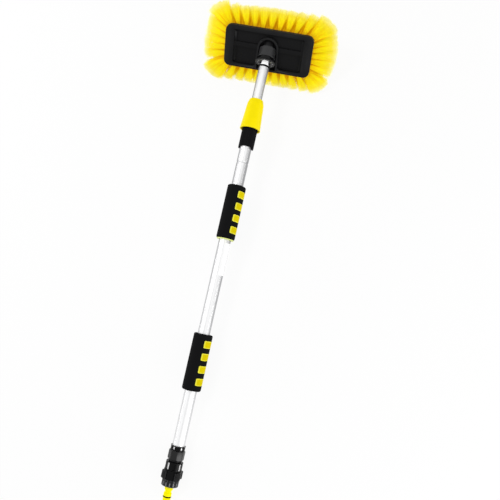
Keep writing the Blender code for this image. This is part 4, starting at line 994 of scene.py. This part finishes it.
def make_valve_ring():
    """Valve ring with grooved finger lugs."""
    low, high, lug_radius = span("valve_ring")
    shape = fine_spun(ring(low, high, RING_RADIUS, SPIGOT_RADIUS, TRIM), low, high, FINE_CELL)
    rise = lug_radius - RING_RADIUS

    def lug(angle, station):
        aside = nearest(angle, RING_LUG_TURN, RING_LUGS) * lug_radius
        side = ramp(abs(aside) - RING_LUG_WIDTH / 2, ROUND)
        top = ramp(station - low - RING_LUG_LENGTH + RING_LUG_CHAMFER / 2, RING_LUG_CHAMFER)
        height = top * ramp(low + ROUND - station, SOFT)
        grooves = 0.5 - 0.5 * cos(aside / RING_LUG_WIDTH * 2 * pi * RING_LUG_GROOVES)
        return side * height * (rise - RING_LUG_GROOVE_DEPTH * grooves**2)

    push_out(shape, RING_RADIUS - HAIR, lug)
    pole_piece("lugged_ring", shape, BLACK_SATIN, "valve_ring")


def make_fluted_sleeve():
    """Sleeve with sunk flutes, with a painted highlight, white at the bottom of every other one."""
    low, high, radius = span("fluted_sleeve")
    shape = fine_spun(ring(low, high, radius, SPIGOT_RADIUS, ROUND), low, high, FINE_CELL)
    half_length = (high - low) * FLUTE_LENGTH_SHARE / 2

    def flute(angle, station):
        aside = nearest(angle, FLUTE_TURN, FLUTES) * radius
        along = station - (low + high) / 2
        return -FLUTE_DEPTH * ramp(corner_distance(aside, along, FLUTE_WIDTH / 2, half_length, FLUTE_CORNER))

    # Painted highlight: white at the bottom of every other flute.
    def pale(r, angle, station):
        step = 2 * pi / FLUTES
        odd = (angle - FLUTE_TURN + step / 2) // step % 2
        sunk = radius - r
        wall = sunk < FLUTE_DEPTH + HAIR and low + CELL < station < high - CELL
        return max(0.0, sunk / FLUTE_DEPTH * 4 - 3) if odd and wall else 0.0

    push_out(shape, radius - SMALL, flute)
    pole_piece("slotted_sleeve", shape, BLACK_SATIN, "fluted_sleeve", pale)


def make_hex_body():
    """Flat-sided body with turned chamfers, on the spigot that the rest turns on."""
    neck = span("fluted_sleeve")[1] + SEAT
    low, high = neck + HEX_NECK_LENGTH, span("hex_body")[1]
    corner = HEX_ACROSS_FLATS / 2 / cos(pi / HEX_FLATS)
    shape, upright = prism(HEX_FLATS, low, high, corner, corner)
    bmesh.ops.bevel(
        shape, geom=upright, offset=HEX_CORNER_ROUND, segments=4,
        affect="EDGES", profile=0.5, material=-1,
    )
    bmesh.ops.rotate(shape, verts=shape.verts, matrix=Matrix.Rotation(HEX_TURN, 3, "Z"))
    body = made_object("flat_sided_housing", shape, POLE)
    bore = span("outer_tube")[2] + SEAT
    chamfered = [
        (corner - HEX_CHAMFER, high, SMALL), (corner, high - HEX_CHAMFER, SOFT),
        (corner, low + HEX_CHAMFER, SOFT), (corner - HEX_CHAMFER, low, SMALL), (bore, low, 0),
        (bore, high, ROUND),
    ]
    cut(body, made_object("housing_chamfer", spun(rounded(chamfered)), POLE), "INTERSECT")
    bevel(body, FACET_ROUND)
    dress(body, HEX_BLACK, "hex_body")
    make_spigot(neck, low + HEX_CHAMFER)


def make_spigot(neck, high):
    """The flat-sided body's hollow spigot with its neck, inside the ring, the sleeve and the nut."""
    low, radius = span("hex_body")[0], SPIGOT_RADIUS - SPIGOT_CLEARANCE
    corners = [
        (HEX_NECK_RADIUS, high, 0), (HEX_NECK_RADIUS, neck, FINE), (radius, neck, 0),
        (radius, low, SMALL), (SPIGOT_BORE, low, 0), (SPIGOT_BORE, high, 0),
    ]
    attach(made_object("housing_spigot", spun(rounded(corners)), POLE), BLACK_SATIN, "hex_body")


def make_connector_collar():
    """Clamp collar with windows right through its wall and a flared lip."""
    low, high, _ = span("connector_collar")
    middle, half = (low + high) / 2, (high - low) * WINDOW_LENGTH_SHARE / 2
    stations = [low, middle - half, middle, middle + half, high]
    radii = [COLLAR_RADIUS] * 3 + [COLLAR_RADIUS + HAIR, COLLAR_LIP_RADIUS]
    shape = bmesh.new()
    verts = [shape.verts.new((r, 0, z)) for r, z in zip(radii, stations)]
    edges = [shape.edges.new(pair) for pair in zip(verts, verts[1:])]
    spin(shape, verts, edges, COLLAR_WINDOWS * COLLAR_CELLS)
    gone = []
    for face in shape.faces:
        _, angle, station = polar(face.calc_center_median())
        aside = abs(nearest(angle, WINDOW_TURN, COLLAR_WINDOWS)) * COLLAR_RADIUS
        if aside < WINDOW_WIDTH / 2 and abs(station - middle) < half:
            gone.append(face)
    bmesh.ops.delete(shape, geom=gone, context="FACES")
    outward(shape)
    piece = made_object("windowed_collar", shape, POLE)
    modify(piece, "SOLIDIFY", thickness=COLLAR_WALL, offset=-1.0)
    bevel(piece, FACET_ROUND, WINDOW_EDGE_ANGLE)
    dress(piece, BLACK_SATIN, "connector_collar")


# Head

def make_socket_nut():
    """Flared nut with a faceted bevel and painted glints at its corners."""
    low, high, radius = span("socket_nut")
    lip, wall = low + NUT_FACE_WALL, NUT_BEVEL_RADIUS - FINE
    corners = [
        (NUT_REAR_RADIUS, high, ROUND), (radius, low + NUT_BEVEL_DEPTH, ROUND),
        (radius - NUT_BEVEL_DEPTH, low, ROUND), (NUT_BEVEL_RADIUS, low, ROUND),
        (NUT_MOUTH_RADIUS, low + NUT_BEVEL_DEPTH, SMALL), (NUT_MOUTH_RADIUS, lip, 0),
        (wall, lip, 0), (wall, high, FINE),
    ]
    shape = fine_spun(corners, low, high)

    def facet(angle, station):
        return -NUT_FACET_DEPTH * ramp(cos(NUT_BEVELS * angle) * radius / NUT_BEVELS, WIDE)

    # Painted glints at the bevel's corners.
    def glint(r, angle, station):
        corner = ramp(NUT_SHINE_FROM - cos(NUT_BEVELS * angle), NUT_SHINE_BLEND)
        return corner * ramp(abs(r - NUT_BEVEL_RADIUS) - BROAD, WIDE) * (station < lip)

    push_out(shape, NUT_REAR_RADIUS - NUT_BEVEL_DEPTH, facet)
    pole_piece("flared_nut", shape, NUT_BLACK, "socket_nut", glint)


def make_pole_socket():
    """Grey socket, cut off by the tray's floor."""
    low, high, radius = span("pole_socket")
    face = span("socket_nut")[1] + SEAT
    inner, bore = NUT_BEVEL_RADIUS - ROUND, FERRULE_SPIGOT_RADIUS + SEAT
    corners = [
        (SOCKET_REAR_RADIUS, high, SOFT),
        (SOCKET_FRONT_RADIUS, face + SOCKET_FLANGE_LENGTH, SMALL),
        (radius, face + SOCKET_FLANGE_LENGTH, SMALL), (radius, face, SMALL), (inner, face, FINE),
        (inner, low, SMALL), (bore, low, FINE), (bore, high, 0),
    ]
    socket = made_object("grey_socket", spun(rounded(corners)), POLE)
    below = bmesh.new()
    bmesh.ops.create_cube(below, size=CUTTER_SIZE)
    floor = points_of("pole_socket", HEAD)[:, 2].min()
    bmesh.ops.translate(below, verts=below.verts, vec=(0, 0, floor - CUTTER_SIZE / 2))
    cut(socket, made_object("tray_floor", below, HEAD))
    dress(socket, SOCKET_GREY, "pole_socket")


def make_tube_ferrule():
    """The inner tube's tapered end, with the thin ring at its root."""
    low, high, _ = span("tube_ferrule")
    ring_low, ring_high, _ = span("ferrule_ring")
    cone, inner = ring_high + SEAT, FERRULE_CONE_RADIUS - ROUND
    corners = [
        (FERRULE_SPIGOT_RADIUS, high, SMALL),
        (FERRULE_SPIGOT_RADIUS, cone + FERRULE_CONE_LENGTH, WIDE),
        (FERRULE_MOUTH_RADIUS, cone + FERRULE_CONE_LENGTH * FERRULE_MOUTH_SHARE, 2 * WIDE),
        (FERRULE_CONE_RADIUS, cone, SMALL), (inner, cone - SEAT, 0), (inner, low, 0),
        (FERRULE_BORE, low, 0), (FERRULE_BORE, high, 0),
    ]
    turned_piece("tapered_end", corners, CONE_WHITE, "tube_ferrule")
    corners = ring(ring_low, ring_high, RIM_RING_RADIUS, FERRULE_CONE_RADIUS, ROUND)
    turned_piece("rim_ring", corners, SEAL_BLACK, "ferrule_ring")


def make_head_back():
    """The moulded back with every edge rounded."""
    shape = bmesh.new()
    shape.from_mesh(frame["nodes"]["head_back"].data)
    bmesh.ops.remove_doubles(shape, verts=shape.verts, dist=HEAD_WELD)
    bmesh.ops.dissolve_limit(shape, angle_limit=HEAD_FLAT_ANGLE, verts=shape.verts, edges=shape.edges)
    piece = made_object("moulded_back", shape, Matrix.Identity(4))
    bevel(piece, ROUND, HEAD_EDGE_ANGLE)
    dress(piece, BLACK_HEAD, "head_back")


# Bristles

def unit(rows):
    return rows / np.linalg.norm(rows, axis=-1, keepdims=True)


def fan(x, y):
    """Direction of the bristles at places on the board, in the head's frame."""
    across, along = np.tan(SPLAY_SIDE * (x / HALF_WIDTH)), np.tan(SPLAY_END * (y / HALF_HEIGHT))
    return unit(np.stack([across, along, -np.ones_like(across)], axis=-1))


def board_height(x, y):
    """Height of the crowned board's face, in the head's frame."""
    return BOARD_RIM - BOARD_CROWN * (1 - (x / HALF_WIDTH) ** 4) * (1 - (y / HALF_HEIGHT) ** 4)


def filament_mesh():
    """One bristle of unit length, three sided, with a blunt tip."""
    shape, upright = prism(3, 0, 1, 0.5, 0.5 * BRISTLE_TIP_SHARE)
    bmesh.ops.subdivide_edges(shape, edges=upright, cuts=BRISTLE_CUTS)
    return mesh_of("filament", shape)


def tuft_roots():
    """Roots of the tufts on the board: staggered rows, and more round the corners."""
    wide, high = HALF_WIDTH - TUFT_MARGIN, HALF_HEIGHT - TUFT_MARGIN
    corner = HEAD_CORNER_RADIUS - TUFT_MARGIN
    rows = int(2 * high / TUFT_ROW_PITCH)
    roots = []
    for row in range(rows + 1):
        y = (row - rows / 2) * (2 * high) / rows
        shift = (row % 2) / 2
        count = int(wide / TUFT_PITCH + shift)
        xs = [(index + shift) * TUFT_PITCH for index in range(-count - 1, count + 1)]
        roots += [soften(x, y, wide, high, corner) for x in xs if abs(x) <= wide]
    for index in range(CORNER_TUFTS):
        turn = (index + 0.5) / CORNER_TUFTS * pi / 2
        x, y = wide - corner + corner * cos(turn), high - corner + corner * sin(turn)
        roots += [(x, y), (-x, y), (x, -y), (-x, -y)]
    return np.array(roots)


def make_bristles():
    """Eight bundles of fine bristles in tufts, each bundle in place of a slice."""
    rng = np.random.default_rng(7)
    roots = tuft_roots()
    filament = filament_mesh()
    slices = sorted(n for n in frame["nodes"] if n.startswith("bristle_slice"))
    pitch = 2 * HALF_WIDTH / len(slices)
    for index, node in enumerate(slices):
        low = -HALF_WIDTH + index * pitch
        mine = roots[(roots[:, 0] >= low) & (roots[:, 0] < low + pitch)]
        dress(linked(f"{node}_tufts", bundle_mesh(node, filament, mine, rng)), BRISTLE_YELLOW, node)
    make_board()


def full_lengths(a, b):
    """Bristle lengths at places from -1 to 1 across and up the head: longest at its left."""
    longer = np.where(a < 0, LEFT_LONGER, RIGHT_LONGER) * a**4
    full = BRISTLE_LENGTH - EDGE_ROW_SHORTER * b**2 + longer * (1 - 0.5 * b**2)
    full += LOWER_LEFT_LONGER * np.minimum(0, a) ** 4 * np.sqrt(np.maximum(0, -b))
    full += LOWER_LONGER * np.maximum(0, -b) ** 2
    dip = np.sin(pi * np.maximum(0, -a) ** 1.6) ** 2
    return full - UPPER_LEFT_SHORTER * np.maximum(0, b) ** 2 * dip


def tip_radii(a, b, full):
    """How wide the tufts fan out at their tips."""
    tip = TUFT_SIDE_TIP + TUFT_MIDDLE_TIP * (1 - np.abs(b)) ** 2
    tip = tip + TUFT_END_TIP * b**8 + TUFT_CORNER_TIP * (a * b) ** 2
    return tip * (1 + np.maximum(0, full / BRISTLE_LENGTH - 1) * (1 - b**2))


def inner_shade_shares(x, y, aside):
    """How far bristles stand inside the rows or at a tuft's border, where they get painted shade in a deeper
    colour.
    """
    from_side = (HALF_WIDTH - np.abs(x) - TUFT_PITCH / 2) / (TUFT_PITCH / 2)
    from_end = np.clip((HALF_HEIGHT - np.abs(y) - TUFT_MARGIN) / TUFT_ROW_PITCH, 0, 1)
    outer = np.minimum(np.clip(from_side, 0, INNER_SHADE_AT_SIDES), from_end)
    middle = np.clip(from_side - 1, 0, 1) * from_end
    border = np.clip((np.abs(aside) - TUFT_SHADE_BORDER) / (1 - TUFT_SHADE_BORDER), 0, 1)
    return np.maximum(np.maximum(outer, middle), border)


def bundle_mesh(name, filament, roots, rng):
    """All the bristles of one bundle, bent along the fan."""
    count, clumps = len(roots) * BRISTLES_IN_TUFT, len(roots) * CLUMPS_IN_TUFT
    shape = bmesh.new()
    for _ in range(count):
        shape.from_mesh(filament)
    mesh = mesh_of(name, shape)
    points = np.empty(len(mesh.vertices) * 3)
    mesh.vertices.foreach_get("co", points)
    points = points.reshape(count, -1, 3)
    along = points[:, :, 2]
    x, y = np.repeat(roots, BRISTLES_IN_TUFT, axis=0).T

    # Each bristle's place in its tuft, and the clump that its tip is drawn to
    spot = np.sqrt(rng.random(count))
    turn = rng.random(count) * 2 * pi
    aside = (rng.random(count) * 2 - 1) * (0.8 + 0.4 * rng.random(count))
    disc = np.stack([aside, spot * np.sin(turn)], axis=-1)
    clump = np.repeat(np.arange(len(roots)) * CLUMPS_IN_TUFT, BRISTLES_IN_TUFT)
    clump += rng.integers(0, CLUMPS_IN_TUFT, count)
    centres = rng.normal(0, 0.5, (clumps, 2))[clump]
    shortened = rng.random(clumps)[clump]

    # Its direction, length and flare
    way = fan(x, y)
    side = unit(np.stack([way[:, 1], 1e-6 - way[:, 0], np.zeros(count)], axis=-1))
    upper = np.cross(side, way) * TUFT_DEPTH_SHARE
    a, b = x / HALF_WIDTH, y / HALF_HEIGHT
    full = full_lengths(a, b)
    length = full * (1 - LENGTH_SPREAD_SHARE * (0.5 * rng.random(count) + 0.5 * shortened))
    length *= 1 - TUFT_RIM_SHORTER * np.abs(disc[:, 1])
    spread = (tip_radii(a, b, full) - TUFT_ROOT_RADIUS)[:, None]
    flare = TUFT_ROOT_RADIUS + spread * along**TUFT_FLARE_POWER
    bend = np.clip(rng.normal(0, BRISTLE_BEND / 2, (count, 2)), -BRISTLE_BEND, BRISTLE_BEND)

    # Its corners in the head's frame, then in the world and above the floor
    drawn = disc[:, None, :] + (centres - disc)[:, None, :] * (CLUMP_PULL * along**2)[:, :, None]
    offset = drawn * flare[:, :, None] + bend[:, None, :] * (along**2)[:, :, None]
    offset = offset + points[:, :, :2] * BRISTLE_WIDTH
    start = np.stack([x, y, board_height(x, y) + BRISTLE_START], axis=-1)
    place = start[:, None, :] + way[:, None, :] * (length[:, None] * along)[:, :, None]
    place = place + side[:, None, :] * offset[:, :, :1] + upper[:, None, :] * offset[:, :, 1:]
    matrix = np.array(HEAD)
    world = place.reshape(-1, 3) @ matrix[:3, :3].T + matrix[:3, 3]
    low = world[:, 2] < FLOOR_REST
    world[low, 2] = FLOOR_REST * np.exp(world[low, 2] / FLOOR_REST - 1)
    mesh.vertices.foreach_set("co", world.astype(np.float32).ravel())
    for label, values in (
        ("along", along.ravel()),
        # How much painted shade each bristle gets
        ("inner", np.repeat(inner_shade_shares(x, y, aside), along.shape[1])),
        ("strand", np.repeat(rng.random(count), along.shape[1])),
    ):
        mesh.attributes.new(label, "FLOAT", "POINT").data.foreach_set("value", values.astype(np.float32))
    mesh.update()
    return mesh


def make_board():
    """Crowned board that the tufts stand in."""
    shape = grid(48, 24, 1)
    sides = HALF_WIDTH - BOARD_INSET, HALF_HEIGHT - BOARD_INSET
    for v in shape.verts:
        x, y = soften(v.co.x * sides[0], v.co.y * sides[1], *sides, HEAD_CORNER_RADIUS)
        v.co = (x, y, board_height(x, y))
    grown = bmesh.ops.extrude_face_region(shape, geom=shape.faces[:], use_keep_orig=True)
    for item in grown["geom"]:
        if isinstance(item, bmesh.types.BMVert):
            item.co.z = BOARD_RIM + BOARD_EDGE - SEAT
    outward(shape)
    attach(made_object("bristle_board", shape, HEAD), BLACK_HEAD, "head_back")


# What stays as the frame has it

def finish_hidden_nodes():
    """Finishes for the inner pieces that keep their frame shapes."""
    seals = ("piston_seal", "wiper_seal", "nipple_washer", "socket_seal", "head_gasket")
    finishes = {"inner_tube_guide": BUSH_BLACK, "lock_collet": NYLON_WHITE, "valve_plug": NYLON_WHITE}
    for node, finish in (*finishes.items(), *((seal, SEAL_BLACK) for seal in seals)):
        for slot in frame["nodes"][node].material_slots:
            slot.material = finish


# Stage, light and camera

def background_rays(tree):
    """1 for the rays that show the background: seen, mirrored or let through."""
    rays = add(tree, "LightPath", {}).outputs
    mask = rays["Is Camera Ray"]
    for name in ("Is Glossy Ray", "Is Transmission Ray"):
        mask = maths(tree, "MAXIMUM", mask, rays[name])
    return mask


def make_floor():
    """Matt floor that keeps the object's shadow and looks nearly white."""
    floor = made_object("floor", grid(1, 1, FLOOR_SIZE), Matrix.Translation((0, 0, -FLOOR_DROP)))
    made, tree, shader = new_material("pale floor")
    feed(shader, {"Base Color": FLOOR_GREY, "Roughness": 1.0, "Specular IOR Level": 0.0})
    glow = add(tree, "Emission", {"Color": WHITE, "Strength": 1.0})
    lift = maths(tree, "MULTIPLY", background_rays(tree), FLOOR_GLOW)
    mix = add(tree, "MixShader", {0: lift, 1: shader.outputs[0], 2: glow.outputs[0]})
    feed(tree.nodes["Material Output"], {0: mix.outputs[0]})
    floor.data.materials.append(made)


def make_lamp(name, place, aim, size, width, power):
    """A round lamp, or a level strip where a width is given."""
    data = bpy.data.lights.new(name, "AREA")
    data.shape = "RECTANGLE" if width else "DISK"
    data.size = size
    data.size_y = width or size
    data.energy = power
    lamp = linked(name, data)
    lamp.location = place
    lamp.rotation_mode = "QUATERNION"
    lamp.rotation_quaternion = (Vector(aim) - Vector(place)).to_track_quat("-Z", "Y")
    lamp.visible_camera = False


def make_world():
    """Plain pale surroundings: dimmer for what they light than for what is seen or mirrored."""
    world = bpy.data.worlds.new("studio")
    bpy.context.scene.world = world
    world.use_nodes = True
    tree = world.node_tree
    strength = varied(tree, background_rays(tree), AMBIENT, 1.0)
    feed(tree.nodes["Background"], {"Color": WHITE, "Strength": strength})


def make_camera():
    """The photograph's camera: above the pole and a little to its right, looking down on it."""
    data = bpy.data.cameras.new("photo camera")
    data.lens = data.sensor_width * CAMERA_FOCUS / IMAGE_WIDTH
    data.clip_start = 0.05
    camera = linked("photo camera", data)
    out = Vector((sin(CAMERA_ROUND), -cos(CAMERA_ROUND), 0))
    aside = Vector((cos(CAMERA_ROUND), sin(CAMERA_ROUND), 0))
    along = Vector((0, 0, 1))
    place = POLE @ (out * CAMERA_DISTANCE + along * CAMERA_STATION)
    aim = POLE @ (aside * AIM_ASIDE + along * AIM_STATION)
    forward = (aim - place).normalized()
    pole_seen = POLE.to_3x3() @ along
    pole_seen = (pole_seen - forward * pole_seen.dot(forward)).normalized()
    up = Matrix.Rotation(-POLE_LEAN, 3, forward) @ pole_seen
    matrix = Matrix((forward.cross(up), up, -forward)).transposed().to_4x4()
    matrix.translation = place
    camera.matrix_world = matrix
    bpy.context.scene.camera = camera


make_tubes()
make_label()
make_grip("lower_grip")
make_grip("upper_grip")
make_end_ring()
make_lock_collar()
make_lock_sleeve()
make_hose_nipple()
make_union_nut()
make_valve_ring()
make_fluted_sleeve()
make_hex_body()
make_connector_collar()
make_socket_nut()
make_pole_socket()
make_tube_ferrule()
make_head_back()
make_bristles()
finish_hidden_nodes()

make_floor()
make_world()
for lamp in LAMPS:
    make_lamp(*lamp)
make_camera()
bpy.context.scene.view_settings.view_transform = "Standard"
